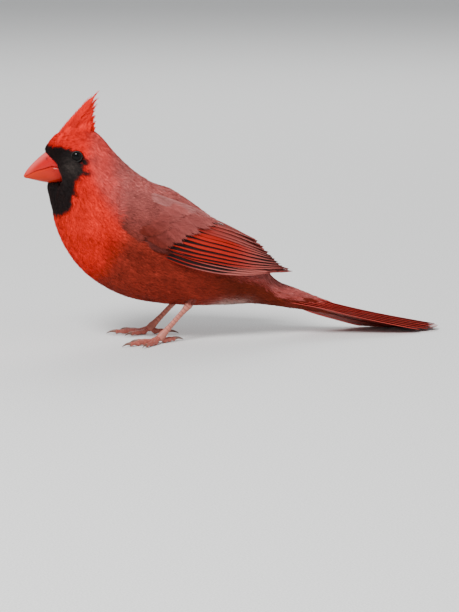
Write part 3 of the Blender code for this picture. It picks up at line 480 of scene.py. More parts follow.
def turned(points, share=1.0):
    """Points of the head after it looks aside, or of the neck by a share of that turn."""
    points = np.asarray(points, float) - TURN_PIVOT
    angle = HEAD_TURN * np.asarray(share)
    x = points[..., 0] * np.cos(angle) - points[..., 1] * np.sin(angle)
    y = points[..., 0] * np.sin(angle) + points[..., 1] * np.cos(angle)
    return np.stack([x, y, points[..., 2]], -1) + TURN_PIVOT


def section_point(table, u, angle):
    """A point of a body-like shape at station u: angle 0 is the back, +90 degrees its right."""
    back_x, back_z, belly_x, belly_z, half, widest, square = parts(spline(table, u))
    side, rise = np.sin(angle), np.cos(angle)
    side = np.sign(side) * np.abs(side) ** (2 / square)
    rise = np.sign(rise) * np.abs(rise) ** (2 / square)
    level = widest + np.where(rise > 0, 1 - widest, widest) * rise
    return np.stack([between(belly_x, back_x, level), half * side, between(belly_z, back_z, level)], -1)


def body_point(u, angle):
    """A point of the bird's body, with the head's relief and turn."""
    p = section_point(BODY, u, angle)
    back_x, back_z, belly_x, belly_z = parts(spline(BODY, u))[:4]
    middle = np.stack([(back_x + belly_x) / 2, 0 * back_x, (back_z + belly_z) / 2], -1)
    out = normalised(p - middle)
    for centre, reach, height in HEAD_RELIEF:
        for hand in (1, -1):
            away = np.linalg.norm(p - on_side(centre, hand), axis=-1)
            p = p + out * (height * bell(away, reach))[..., None]
    share = 1 - ramp(np.asarray(u), TURN_WHOLE, TURN_NONE - TURN_WHOLE)
    return turned(p, share)


def bed_place(x, z):
    """Station and angle on the wings' bed of the point that is seen at x, z from the left."""
    low, high = np.zeros_like(x), np.full_like(x, len(WING_BED) - 1.0)
    for _ in range(BED_HALVINGS):
        u = (low + high) / 2
        back_x, back_z, belly_x, belly_z, _, widest, square = parts(spline(WING_BED, u))
        wide, tall = back_x - belly_x, back_z - belly_z
        ahead = wide * (z - belly_z) - tall * (x - belly_x) > 0
        high, low = np.where(ahead, u, high), np.where(ahead, low, u)
    level = ((x - belly_x) * wide + (z - belly_z) * tall) / (wide**2 + tall**2)
    rise = (level - widest) / np.where(level > widest, 1 - widest, widest)
    rise = np.clip(rise, -MOST_RISE, MOST_RISE)
    return u, -np.arccos(np.sign(rise) * np.abs(rise) ** (square / 2))


def on_bed(points, lift):
    """Points of the left wing: seen at x, z from the left, lift above the bed, and their normals."""
    points = np.asarray(points, float)
    u, angle = bed_place(points[..., 0], points[..., 1])
    here = section_point(WING_BED, u, angle)
    step = 0.02
    along = section_point(WING_BED, u + step, angle) - section_point(WING_BED, u - step, angle)
    around = section_point(WING_BED, u, angle + step) - section_point(WING_BED, u, angle - step)
    normal = normalised(np.cross(around, along))
    outward = np.sign((normal * (here - section_point(WING_BED, u, angle + pi))).sum(-1))
    normal = normal * outward[..., None]
    return here + normal * np.asarray(lift)[..., None], normal


def tail_frame(along):
    """A point of the tail's line, and the directions along it, to its right and up from it."""
    along = np.asarray(along, float)
    length = max(TAIL_LENGTHS)
    steps = np.linspace(0, 1, 33)
    x, z = np.full(along.shape, TAIL_ROOT[0]), np.full(along.shape, TAIL_ROOT[1])
    for a, b in zip(steps[:-1], steps[1:]):
        mid = (a + b) / 2 * along / length
        angle = between(TAIL_DROP_ROOT, TAIL_DROP_TIP, mid)
        x, z = x + np.cos(angle) * (b - a) * along, z - np.sin(angle) * (b - a) * along
    angle = TAIL_DROP_ROOT + (TAIL_DROP_TIP - TAIL_DROP_ROOT) * along / length
    zero = 0 * angle
    forward = np.stack([np.cos(angle), zero, -np.sin(angle)], -1)
    up = np.stack([np.sin(angle), zero, np.cos(angle)], -1)
    side = np.stack([zero, zero + 1, zero], -1)
    roll = TAIL_ROLL * ramp(along, TAIL_START, 30)[..., None]
    right, high = side * np.cos(roll) - up * np.sin(roll), up * np.cos(roll) + side * np.sin(roll)
    return np.stack([x, zero, z], -1), forward, right, high


def eye_place(hand):
    return turned(on_side(EYE_MIDDLE, hand))


# The solids' place: the bird's left eye is one of them
eye_low, eye_high = (np.array(corner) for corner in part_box("eye_left"))
PLACE = (eye_low + eye_high) / 2 - eye_place(-1) * MM


def mesh_piece(name, points, faces, colours, uv, barbs):
    """A mesh from points in millimetres and triangles, with a colour, a place in the map and
    a place among the barbs for each point."""
    faces = np.asarray(faces, np.int32)
    mesh = bpy.data.meshes.new(name)
    mesh.vertices.add(len(points))
    mesh.vertices.foreach_set("co", (points * MM + PLACE).astype(np.float32).ravel())
    mesh.loops.add(faces.size)
    mesh.loops.foreach_set("vertex_index", faces.ravel())
    mesh.polygons.add(len(faces))
    mesh.polygons.foreach_set("loop_start", np.arange(0, faces.size, 3, dtype=np.int32))
    mesh.update(calc_edges=True)
    rgba = np.ones((len(points), 4), np.float32)
    rgba[:, :3] = np.clip(colours, 0, 1)
    mesh.color_attributes.new("Colour", "FLOAT_COLOR", "POINT").data.foreach_set("color", rgba.ravel())
    mesh.attributes.new("Barbs", "FLOAT", "POINT").data.foreach_set("value", barbs.astype(np.float32))
    corners = np.clip(uv, 0, 1)[faces].astype(np.float32)
    mesh.uv_layers.new(name="OFBake").data.foreach_set("uv", corners.ravel())
    mesh.shade_smooth()
    piece = bpy.data.objects.new(name, mesh)
    bpy.context.scene.collection.objects.link(piece)
    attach(piece, "root")
    return piece


class Surface:
    """Points in rows from front to back, round a limb or over a patch, that can be read
    between the points, and past its last row in a straight line."""

    def __init__(self, points, closed=True):
        self.points, self.closed = points, closed
        self.rows, self.columns = points.shape[:2]
        along = np.gradient(points, axis=0)
        if closed:
            around = (np.roll(points, -1, 1) - np.roll(points, 1, 1)) / 2
            outward = points - points.mean(1, keepdims=True)
        else:
            around = np.gradient(points, axis=1)
            outward = points * (0, 1, 0)
        normals = normalised(np.cross(around, along))
        self.normals = normals * np.sign((normals * outward).sum())
        self.along = np.linalg.norm(along, axis=-1)
        self.around = np.linalg.norm(around, axis=-1)

    def read(self, grid, row, column):
        row = np.maximum(row, 0)
        i = np.minimum(row.astype(int), self.rows - 2)
        if self.closed:
            j = np.floor(column).astype(int)
            f, g = row - i, column - j
            j, k = j % self.columns, (j + 1) % self.columns
        else:
            j = np.clip(np.floor(column).astype(int), 0, self.columns - 2)
            f, g = row - i, column - j
            k = j + 1
        if grid.ndim == 3:
            f, g = f[..., None], g[..., None]
        front = grid[i, j] * (1 - g) + grid[i, k] * g
        back = grid[i + 1, j] * (1 - g) + grid[i + 1, k] * g
        return front * (1 - f) + back * f

    def scattered(self, count, weight=1):
        """Even places over the surface, closer together where weight is more."""
        mass = self.along * self.around * weight
        of_row = np.cumsum(mass.sum(1))
        n = np.arange(count)
        first, second = (n * 0.7548776662) % 1, (n * 0.5698402910) % 1
        row = np.interp(first * of_row[-1], of_row, np.arange(self.rows))
        within = np.cumsum(mass, 1)[np.clip(row.round().astype(int), 0, self.rows - 1)]
        level = second * within[:, -1]
        column = (within < level[:, None]).sum(1) + rng.random(count)
        return np.clip(row + rng.random(count) - 0.5, 0, self.rows - 1.001), column


def tube_faces(rows, columns, capped=True):
    """Triangles over rings of points, and fans over the two end points that follow them."""
    i, j = np.meshgrid(np.arange(rows - 1), np.arange(columns), indexing="ij")
    k = (j + 1) % columns
    a, b, c, d = i * columns + j, (i + 1) * columns + j, (i + 1) * columns + k, i * columns + k
    faces = [np.stack([a, b, c], -1).reshape(-1, 3), np.stack([a, c, d], -1).reshape(-1, 3)]
    if capped:
        j, last = np.arange(columns), (rows - 1) * columns
        k = (j + 1) % columns
        faces.append(np.stack([0 * j + rows * columns, j, k], -1))
        faces.append(np.stack([0 * j + rows * columns + 1, last + k, last + j], -1))
    return np.concatenate(faces)


def facing_out(points, faces):
    """Faces turned so that a closed shape's inside is behind them."""
    corners = points[faces]
    volume = (corners[:, 0] * np.cross(corners[:, 1], corners[:, 2])).sum()
    return faces[:, ::-1] if volume < 0 else faces


class Mass:
    """Many shapes gathered into one mesh."""

    def __init__(self):
        self.points, self.faces, self.colours, self.uv, self.barbs = [], [], [], [], []
        self.count = 0

    def add(self, points, faces, colours, uv, barbs=0.0):
        points = np.asarray(points, float).reshape(-1, 3)
        self.points.append(points)
        self.faces.append(np.asarray(faces) + self.count)
        self.colours.append(np.broadcast_to(colours, points.shape))
        self.uv.append(np.asarray(uv, float).reshape(-1, 2))
        self.barbs.append(np.broadcast_to(barbs, len(points)))
        self.count += len(points)
        return self

    def tube(self, rings, colours, capped=True):
        """A closed limb through rings of points."""
        rings = np.asarray(rings, float)
        rows, columns = rings.shape[:2]
        points = np.concatenate([rings.reshape(-1, 3), rings[[0, -1]].mean(1)])
        colours = np.broadcast_to(colours, rings.shape)
        ends = colours[[0, -1]].mean(1)
        r, c = np.meshgrid(np.linspace(0, 1, rows), np.linspace(0, 1, columns), indexing="ij")
        uv = np.concatenate([np.stack([c, r], -1).reshape(-1, 2), [(0.5, 0), (0.5, 1)]])
        faces = facing_out(points, tube_faces(rows, columns, capped))
        colours = np.concatenate([colours.reshape(-1, 3), ends])
        return self.add(points, faces, colours, uv * 0.98 + 0.01)

    def sheet(self, top, under, colours, uv, barbs=0.0):
        """A closed sheet between two grids of points."""
        rows, columns = top.shape[:2]
        i, j = np.meshgrid(np.arange(rows - 1), np.arange(columns - 1), indexing="ij")
        a = (i * columns + j).ravel()
        b, c, d = a + columns, a + columns + 1, a + 1
        upper = np.concatenate([np.stack([a, c, b], -1), np.stack([a, d, c], -1)])
        size = rows * columns
        rim = np.concatenate([np.arange(columns), np.arange(2, rows + 1) * columns - 1,
                              np.arange(size - 2, size - columns - 1, -1),
                              np.arange(rows - 2, 0, -1) * columns])
        after = np.roll(rim, -1)
        edge = np.concatenate([np.stack([rim, rim + size, after + size], -1),
                               np.stack([rim, after + size, after], -1)])
        points = np.concatenate([top.reshape(-1, 3), under.reshape(-1, 3)])
        faces = facing_out(points, np.concatenate([upper, upper[:, ::-1] + size, edge]))
        tone = np.broadcast_to(colours, top.shape).reshape(-1, 3)
        spot = np.asarray(uv).reshape(-1, 2)
        barbs = np.broadcast_to(barbs, top.shape[:2]).ravel()
        self.add(points, faces, np.concatenate([tone, tone * 0.9]), np.concatenate([spot, spot]),
                 np.concatenate([barbs, barbs]))

    def on_floor(self, clear=0.04, within=0.7):
        """Presses together what would reach under the floor, so that it lies just on it."""
        lowest = min(points[:, 2].min() for points in self.points)
        for points in self.points if lowest < clear else ():
            z = points[:, 2]
            pressed = clear + (z - lowest) / (within - lowest) * (within - clear)
            points[:, 2] = np.where(z < within, pressed, z)
        return self

    def mirror(self):
        """Turns a left piece into the right one."""
        self.points = [points * (1, -1, 1) for points in self.points]
        self.faces = [faces[:, ::-1] for faces in self.faces]

    def piece(self, name, slot, material, *replaced):
        """The finished mesh with the material it is given, which stands for some nodes. The slot is not
        used.
        """
        made = mesh_piece(name, np.concatenate(self.points), np.concatenate(self.faces),
                          np.concatenate(self.colours), np.concatenate(self.uv),
                          np.concatenate(self.barbs))
        made.data.materials.append(material)
        if replaced:
            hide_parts(*replaced)
        return made


# How wide a barb is at each step along it, and how far along these steps are
BARB_STEPS = np.array((0.0, 0.4, 0.75, 1.0))
BARB_WIDTHS = np.array((0.8, 1.0, 0.72, 0.0))
# How dark each of a barb's seven points is in a tuft, darker at the root partly for the grey down there
# and partly as painted shade under the tufts over it, and how much it has of the tip's colour
BARB_DOWN_AND_SHADE = np.array((0.5, 0.5, 0.82, 0.82, 1.0, 1.0, 1.06))
BARB_TIPPED = np.array((0, 0, 0, 0, 0.35, 0.35, 1.0))[:, None]
# How wide a tuft is in the map
PATCH = 0.003
# How much shorter a tuft's outer barbs are, how far their roots are sunk in the skin, how much
# their tips drop, and a barb's half width: what each has and the part that grows with its length
FAN_ROUND, TUFT_SUNK, TIP_DROP, TUFT_BARB_HALF = 0.26, 0.25, 0.12, (0.045, 0.013)
# How uneven a tuft is: its fan, its barbs' reach, bend, height and roll, and the lightness of
# whole tufts and of single barbs
UNEVEN_FAN, UNEVEN_REACH, UNEVEN_BEND, UNEVEN_RISE, UNEVEN_ROLL = 0.12, 0.07, 0.05, 0.14, 0.45
UNEVEN_TUFTS, UNEVEN_BARBS = 0.12, 0.18


def barb_faces(count):
    """Triangles of barbs of seven points each: three pairs and a tip."""
    one = np.array([(0, 1, 3), (0, 3, 2), (2, 3, 5), (2, 5, 4), (4, 5, 6)])
    return (np.arange(count)[:, None, None] * 7 + one).reshape(-1, 3)


def barb_sides(middle, half):
    """Seven numbers for each barb from its middle line and its half width at the four steps."""
    pairs = np.stack([middle - half, middle + half], -1)
    return np.concatenate([pairs[..., :3, :].reshape(*middle.shape[:-1], 6), middle[..., 3:]], -1)


def tufts(mass, surface, row, column, turn, length, width, depth, lift, colour, tips=None):
    """Fans of barbs that lie along a surface, one fan for each place in row and column."""
    n, barbs = len(row), TUFT_BARBS
    turn, depth, lift = (np.broadcast_to(each, n) for each in (turn, depth, lift))
    fan = np.linspace(-1, 1, barbs)[None, :] + rng.normal(0, UNEVEN_FAN, (n, barbs))
    reach = length[:, None] * (1 - FAN_ROUND * fan**2 + rng.normal(0, UNEVEN_REACH, (n, barbs)))
    q = BARB_STEPS[None, None, :]
    along = reach[..., None] * q
    aside = fan[..., None] * width[:, None, None] / 2 * (0.3 + 0.7 * q**0.8)
    aside = aside + (rng.normal(0, UNEVEN_BEND, (n, barbs)) * reach)[..., None] * q**2
    rise = (depth[:, None] + lift[:, None] + rng.normal(0, UNEVEN_RISE, (n, barbs)))[..., None]
    high = -depth[:, None, None] - TUFT_SUNK + (rise + TUFT_SUNK) * (1 - (1 - q) ** 1.8)
    high = high - TIP_DROP * q**3
    half = (TUFT_BARB_HALF[0] + TUFT_BARB_HALF[1] * length)[:, None, None] * BARB_WIDTHS
    roll = rng.normal(0, UNEVEN_ROLL, (n, barbs))[..., None]
    along = barb_sides(along, 0 * along)
    aside = barb_sides(aside, half * np.cos(roll))
    high = barb_sides(high, half * np.sin(roll))
    turn, r0, c0 = turn[:, None, None], row[:, None, None], column[:, None, None]
    step_r = surface.read(surface.along, row, column)[:, None, None]
    step_c = surface.read(surface.around, row, column)[:, None, None]
    r = r0 + (along * np.cos(turn) - aside * np.sin(turn)) / step_r
    c = c0 + (along * np.sin(turn) + aside * np.cos(turn)) / step_c
    points = surface.read(surface.points, r, c) + surface.read(surface.normals, r, c) * high[..., None]
    shade = rng.normal(1, UNEVEN_TUFTS, (n, 1, 1)) * rng.normal(1, UNEVEN_BARBS, (n, barbs, 1))
    # Roots darker: partly grey down, partly painted shade
    shade = shade * BARB_DOWN_AND_SHADE
    tips = colour if tips is None else tips
    tone = colour[:, None, None, :] * (1 - BARB_TIPPED) + tips[:, None, None, :] * BARB_TIPPED
    tone = np.clip(tone * shade[..., None], 0, 1)
    u = c0 / surface.columns % 1 * 0.98 + 0.01 + 0 * along
    v = r0 / surface.rows * 0.98 + 0.01 + 0 * along
    spot = np.stack([u + aside / width[:, None, None] * PATCH / 2,
                     v + (along / length[:, None, None] - 0.5) * PATCH], -1)
    mass.add(points, barb_faces(n * barbs), tone.reshape(-1, 3), np.clip(spot, 0, 1))


def plume(mass, line, ups, width, colour, barbs, cell, swing=0.30, fine=0.13, below=0.5, crown=0.12,
          beyond=0.18):
    """A soft feather: a shaft along a line, with barbs that leave it on both sides."""
    steps = np.linspace(0, len(line) - 1, barbs + 4)[: barbs]
    start = np.repeat(steps / (len(line) - 1), 2)
    hand = np.tile((-1.0, 1.0), barbs)
    n = len(start)
    q = BARB_STEPS[None, :]
    reach = swing * (1 + rng.normal(0, 0.08, n))
    place = np.clip(start[:, None] + reach[:, None] * q, 0, 1 + beyond)
    span = blade_width(np.clip(start + reach * 0.8, 0, 1))
    share = np.where(hand < 0, below, 1 - below)
    aside = (hand * share * width * span * (1 + rng.normal(0, 0.06, n)))[:, None] * q**0.85
    half = fine * BARB_WIDTHS[None, :] * np.ones((n, 1))
    roll = rng.normal(0, 0.35, n)[:, None]
    place, lateral = barb_sides(place, 0 * place), barb_sides(aside, half * np.cos(roll))
    high = barb_sides(-crown * (aside / (width * 0.5)) ** 2, half * np.sin(roll))
    high = high + rng.normal(0, 0.04, n)[:, None] + 0.12
    inside = np.clip(place, 0, 1) * (len(line) - 1)
    along = normalised(np.gradient(line, axis=0))
    points = spline(line, inside)
    length = np.linalg.norm(np.diff(line, axis=0), axis=1).sum()
    points = points + along[-1] * (np.clip(place - 1, 0, 1) * length)[..., None]
    up = normalised(spline(ups, inside))
    across = normalised(np.cross(up, spline(along, inside)))
    points = points + across * lateral[..., None] + up * high[..., None]
    t = np.clip(place, 0, 1)
    tone = colour(t, lateral / (width * 0.5)) * rng.normal(1, 0.09, (n, 1, 1))
    spot = np.stack([cell[0] + (lateral / width) * cell[2], cell[1] + t * cell[3]], -1)
    mass.add(points, barb_faces(n), np.clip(tone, 0, 1).reshape(-1, 3), np.clip(spot, 0, 1))


def blade_width(t, root=0.55, shoulder=0.3, round_from=0.72, point=0.5):
    """A feather's width along it, as a share of its greatest: narrow root, round tip."""
    width = root + (1 - root) * smooth_step(t / shoulder)
    past = np.clip((t - round_from) / (1 - round_from), 0, 1)
    return width * np.maximum(1 - past**2, 0.02) ** point


# How far a barb runs towards the tip for each millimetre that it runs out from the shaft
BARB_SLANT = 1.1
# Where the columns of a vane lie across it, with its shaft in the middle
VANE_ACROSS = np.array((-1, -0.86, -0.66, -0.44, -0.24, -0.07, 0, 0.07, 0.24, 0.44, 0.66, 0.86, 1))


def vane(mass, line, ups, width, colour, cell, below=0.5, dip=0.0, crown=0.15,
         thick=VANE_THICK, ragged=0.15, **blade):
    """A firm feather: two webs on a raised shaft, with below as the lower web's share."""
    line, ups = np.asarray(line, float), normalised(np.asarray(ups, float))
    rows, s = len(line), VANE_ACROSS
    t = np.linspace(0, 1, rows)
    along = normalised(np.gradient(line, axis=0))
    across = normalised(np.cross(ups, along))
    wide = width * blade_width(t, **blade)
    notch = 1 + ragged / width * rng.normal(0, 1, rows) * (t > 0.5)
    share = np.where(s < 0, below, 1 - below)
    aside = wide[:, None] * notch[:, None] * share * s
    sunk = dip * (0.35 + 0.65 * smooth_step(t / 0.5))[:, None] * np.abs(s) ** 1.5
    sag = np.where((s > 0) & (dip > 0), sunk, crown * s**2)
    shaft = 0.10 * bell(s, 0.06) * (1 - 0.8 * t[:, None])
    top = line[:, None, :] + across[:, None, :] * aside[..., None]
    top = top + ups[:, None, :] * (shaft - sag)[..., None]
    top = top - along[:, None, :] * (0.10 * wide[:, None] * np.abs(s) ** 2)[..., None]
    under = top - ups[:, None, :] * (thick * (1 - 0.6 * np.abs(s) ** 3))[None, :, None]
    tone = colour(t[:, None] + 0 * aside, s[None, :] + 0 * aside)
    tone = tone * (1 + rng.normal(0, 0.025, aside.shape))[..., None]
    spot = np.stack([cell[0] + (s[None, :] * 0.5) * cell[2] + 0 * aside,
                     cell[1] + t[:, None] * cell[3] + 0 * aside], -1)
    length = np.linalg.norm(np.diff(line, axis=0), axis=1).sum()
    mass.sheet(top, under, np.clip(tone, 0, 1), spot, t[:, None] * length - BARB_SLANT * np.abs(aside))


def cells(count):
    """Places in the map for separate feathers: middle, foot, width and height of each."""
    across = int(np.ceil(np.sqrt(count * 3.0)))
    down = int(np.ceil(count / across))
    for i in range(count):
        yield ((i % across + 0.5) / across, (i // across + 0.05) / down, 0.9 / across, 0.9 / down)


def distance_to(outline, x, z):
    """How far points are outside a closed outline, with - for those inside it."""
    outline = np.asarray(outline, float)
    near = np.full(x.shape, 1e9)
    inside = np.zeros(x.shape, bool)
    for (ax, az), (bx, bz) in zip(outline, np.roll(outline, -1, 0)):
        dx, dz = bx - ax, bz - az
        t = np.clip(((x - ax) * dx + (z - az) * dz) / (dx * dx + dz * dz), 0, 1)
        near = np.minimum(near, np.hypot(x - ax - t * dx, z - az - t * dz))
        crosses = (az > z) != (bz > z)
        slope = np.where(abs(dz) < 1e-9, 0, dx / (dz if abs(dz) > 1e-9 else 1))
        inside ^= crosses & (x < ax + (z - az) * slope)
    return np.where(inside, -near, near)


def mottle(p, size, seed):
    """A soft uneven field from -1 to 1 over space, with blotches of about this size."""
    draw = np.random.default_rng(seed)
    total = 0
    for _ in range(5):
        wave = draw.normal(0, 1, 3) / size
        total = total + np.sin(p @ wave * 2.2 + draw.random() * 6.3)
    return total / 3.2


def patch(x, z, middle_x, middle_z, reach_x, reach_z):
    """A soft round patch as seen from the side: 1 in its middle and 0 far off."""
    return np.exp(-(((x - middle_x) / reach_x) ** 2 + ((z - middle_z) / reach_z) ** 2))


def plumage(p, up):
    """The coat's colour at points of the body before the head turns: up is 1 on the back and
    -1 on the belly."""
    x, y, z = parts(p)
    back = ramp(x, *BACK_BEHIND) * ramp(up, *BACK_ABOVE)
    # Painted shade: the belly and the rump darken the coat low down and far back, over their own duller
    # red
    low = ramp(BELLY_SHADE_SLOPE[0] * x - BELLY_SHADE_SLOPE[1] * z, *BELLY_SHADE_BEYOND)
    nape = ramp(x, *NAPE_BEHIND) * ramp(up, *NAPE_ABOVE) * (1 - back)
    colour = mixed(RED, BREAST, ramp(z, *BREAST_BELOW))
    colour = mixed(colour, BELLY_DULL_AND_SHADE, low * (1 - back))
    colour = mixed(colour, RUMP_DULL_AND_SHADE, ramp(x, *RUMP_SHADE_BEHIND) * (1 - back))
    colour = mixed(colour, BACK, back)
    colour = mixed(colour, NAPE, 0.6 * nape)
    colour = colour * (1 + CLOUDS * mottle(p, CLOUD_SIZE, 3))[..., None]
    flecks = smooth_step(mottle(p, FLECK_SIZE, 4) * 1.6 - 0.4)
    colour = mixed(colour, colour * FLECK_TINT, FLECKS * flecks)
    colour = mixed(colour, VENT, 0.8 * patch(x, z, *VENT_PATCH))
    colour = mixed(colour, BACK * 0.55, 0.55 * patch(x, z, *EAR_PATCH))
    low_down = z - BIB_ROUND * y**2 * ramp(z, 80, -10)
    off = distance_to(MASK, x, low_down) + 0.55 * mottle(p, 1.1, 5)
    black = mixed(BLACK, LORE, patch(x, z, *LORE_PATCH) * smooth_step(0.5 + mottle(p, 0.7, 6)))
    return mixed(colour, black, smooth_step(0.5 - off / 0.9))


def body_surface():
    """The body's outer shape from the bill's root to the ends of the tail coverts, the same
    before the head turns, the coat's colour over it, and each row's station."""
    angle = circle(BODY_COLUMNS)
    u = np.linspace(0, TAIL_AT, BODY_ROWS)
    grid_u, grid_a = np.meshgrid(u, angle, indexing="ij")
    body = body_point(grid_u, grid_a)
    plain = section_point(BODY, grid_u, grid_a)
    ends = [body_point(np.full(BODY_COLUMNS, at), angle) for at in (TAIL_AT - 0.6, TAIL_AT)]
    for along, high, low, half in TAIL_COVERTS:
        place, _, right, up = tail_frame(np.array(along))
        level = (high + low) / 2 + (high - low) / 2 * np.cos(angle)
        ends.append(place + right * (half * np.sin(angle))[:, None] + up * level[:, None])
    rear = spline(ends, np.linspace(1, len(ends) - 1, REAR_ROWS)[1:])
    stations = np.concatenate([u, TAIL_AT + np.linspace(0, len(TAIL_COVERTS), REAR_ROWS)[1:]])
    shape = np.concatenate([body, rear])
    shape = shape + Surface(shape).normals * wing_rise(shape)[..., None]
    plain = np.concatenate([plain, rear])
    colour = plumage(plain, np.cos(angle)[None, :] + 0 * shape[..., 0])
    return Surface(shape), plain, colour, stations


def wing_rise(points):
    """How much the coat swells to meet the folded wing's edges."""
    x, y, z = parts(points)
    away = distance_to(WING_OUTLINE, x, z)
    near = np.where(away > 0, bell(away, RISE_REACH), smooth_step(1 + away / 9))
    front = ramp(x, 8, -22)
    rise = (RISE_ALONG + RISE_FRONT * front) * near * ramp(np.abs(y), 4, 7)
    on_back = ramp(z + 0.7 * x, 66, 6) * ramp(np.abs(y), 14, -5) * ramp(x, -8, 12) * ramp(x, 48, -12)
    return rise * ramp(x, 38, -12) + RISE_BETWEEN * on_back


def chin_surface():
    angle = circle(60)
    rings = []
    for level, front, back, half in spline(CHIN, np.linspace(0, len(CHIN) - 1, 50)):
        x = (front + back) / 2 + (front - back) / 2 * np.cos(angle)
        rings.append(np.column_stack([x, half * np.sin(angle), level + 0 * angle]))
    return Surface(turned(rings))


def crest_core():
    """The low keel of the crown that the crest grows from."""
    rings = []
    for (x, z, half), (back_x, back_z) in zip(CREST_CORE, CREST_CORE_BACK):
        front, back = np.array((x, 0, z)), np.array((back_x, 0, back_z))
        side = np.array((0, half, 0))
        middle = front * 0.45 + back * 0.55
        rings.append([front, front * 0.8 + back * 0.2 + side * 0.8, middle + side, back + side * 0.6,
                      back - side * 0.6, middle - side, front * 0.8 + back * 0.2 - side * 0.8])
    return turned(rings)


def bill_side():
    """The outline of the bill from the side, back to the feathers' edge."""
    culmen = [(row[0], row[1]) for row in BILL[:-1]]
    keel = [(row[4], row[5]) for row in BILL[::-1]]
    return (*culmen, *BILL_BORDER, *keel[1:])


def wing_grid(margin, last_low, last_high, rows, columns):
    """Places on the wing's patch of the bed, x and z, from its front to stations along its
    lower and upper edge."""
    t = np.linspace(0, 1, columns)
    s = np.linspace(0, 1, rows)[:, None] * between(last_low, last_high, t)
    low, high = spline(WING_LOWER, s), spline(WING_UPPER, s)
    out = normalised(high - low) * margin
    low, high = low - out, high + out * 0.5
    return between(low, high, t[None, :, None])


def add_skin(body, plain, colour, stations):
    """The skin under the coat, which carries the same markings."""
    skin = Mass()
    bare = distance_to(bill_side(), plain[..., 0], plain[..., 2]) < UNDER_BILL
    depth = spline(SKIN_DEPTHS, stations)[:, None] + BARE_DEPTH * bare
    inner = body.points - body.normals * depth[..., None]
    skin.tube(inner[::2, ::2], colour[::2, ::2] * SKIN_SHADE)
    skin.tube(crest_core(), RED * 0.5)
    chin = chin_surface()
    skin.tube(chin.points[::3, ::2] - chin.normals[::3, ::2] * 0.7, BLACK)
    grid = wing_grid(WING_CORE_MARGIN, WING_CORE_END, WING_CORE_END, 24, 12)
    edge = np.full(grid.shape[:2], 1.0)
    edge[[0, -1], :] = edge[:, [0, -1]] = 0.15
    for _, hand in SIDES:
        skin.tube(thigh_rings(hand, -0.6), BELLY_DULL_AND_SHADE * 0.6)
        top, _ = on_bed(grid, WING_CORE_HIGH * edge)
        under, _ = on_bed(grid, WING_CORE_DEEP * edge)
        flip = (1, -hand, 1)
        skin.sheet(top * flip, under * flip, COVERT * 0.5, np.full((*grid.shape[:2], 2), 0.5))
    skin.piece("skin", "body_feathers", finish("feathers", "skin", 0.7),
               "head", "neck", "torso", "thigh_left", "thigh_right")


def rings_along(line, deep, wide, columns):
    """Rings round a line: deep is the radius fore and aft, wide the radius across."""
    line = np.asarray(line, float)
    along = normalised(np.gradient(line, axis=0))
    side = normalised(np.cross(along, (0.0, 0.0, 1.0)))
    fore = np.cross(side, along)
    angle = circle(columns)
    return np.array([p + np.outer(np.cos(angle), f * d) + np.outer(np.sin(angle), s * w)
                     for p, f, s, d, w in zip(line, fore, side, deep, wide)])


def leg_line(hand, share):
    return on_side(between(ANKLE, FOOT, share), hand)


def thigh_rings(hand, grow):
    """The feathered end of the upper leg, from inside the belly to the ankle."""
    top, low = on_side(THIGH_TOP, hand), leg_line(hand, 0)
    share = np.linspace(0, 1, 14)
    radii = between(*THIGH_RADII, share**0.8) + grow
    return rings_along([between(top, low, s) for s in share], radii, radii * 0.9, LEG_SIDES)


def add_coat(body, plain, colour, stations):
    """Small feathers all over the head and body, in overlapping tufts that point back."""
    angle = circle(BODY_COLUMNS)
    material = finish("feathers", "coat")
    x, y, z = parts(body.points)
    at_row = stations[:, None]
    covered = (distance_to(WING_OUTLINE, x, z) < UNDER_WING) & (np.abs(y) > UNDER_WING_OFF)
    covered &= (at_row > UNDER_WING_AT[0]) & (at_row < UNDER_WING_AT[1])
    covered |= distance_to(bill_side(), plain[..., 0], plain[..., 2]) < UNDER_BILL
    for _, hand in SIDES:
        covered |= np.linalg.norm(body.points - eye_place(hand), axis=-1) < EYE_RADIUS + 0.1
    back = ramp(np.cos(angle), 0.1, 0.4)
    for name, slot, first, last, count in COAT_PIECES:
        open_skin = (at_row >= first) & (at_row < last) & ~covered
        row, column = body.scattered(count, open_skin / spline(COAT_SIZES, stations)[:, None] ** 1.2)
        keep = body.read(open_skin.astype(float), row, column) > 0.5
        row, column = row[keep], column[keep]
        at = np.interp(row, np.arange(len(stations)), stations)
        place = column % BODY_COLUMNS
        length = spline(COAT_SIZES, at) * rng.normal(1, 0.12, len(row))
        tone = body.read(colour, row, column)
        on_back = np.interp(place, np.arange(BODY_COLUMNS), back) * ramp(at, 5, 2)
        tips = mixed(tone, BACK_TIPS, 0.7 * on_back * rng.random(len(row)))
        around = np.interp(place, np.arange(BODY_COLUMNS), angle)
        turn = rng.normal(0, 0.10, len(row)) + 0.10 * np.sin(around)
        lift = rng.normal(0.12, 0.10, len(row)) + 0.02 * length
        mass = Mass()
        tufts(mass, body, row, column, turn, length, length * TUFT_WIDTH, spline(SKIN_DEPTHS, at), lift,
              tone, tips)
        mass.piece(name, slot, material)
    add_chin(material)
    add_thigh_coat(material)
    add_bristles(material)


def add_chin(material):
    """The black feathers of the chin."""
    chin = chin_surface()
    row, column = chin.scattered(CHIN_TUFTS)
    length = 1.7 + 2.4 * row / chin.rows
    mass = Mass()
    black = BLACK * rng.normal(1, 0.2, (len(row), 1))
    tufts(mass, chin, row, column, 0, length, length * 0.4, 0.7, 0.1, black)
    mass.piece("coat_chin", "head_feathers", material)


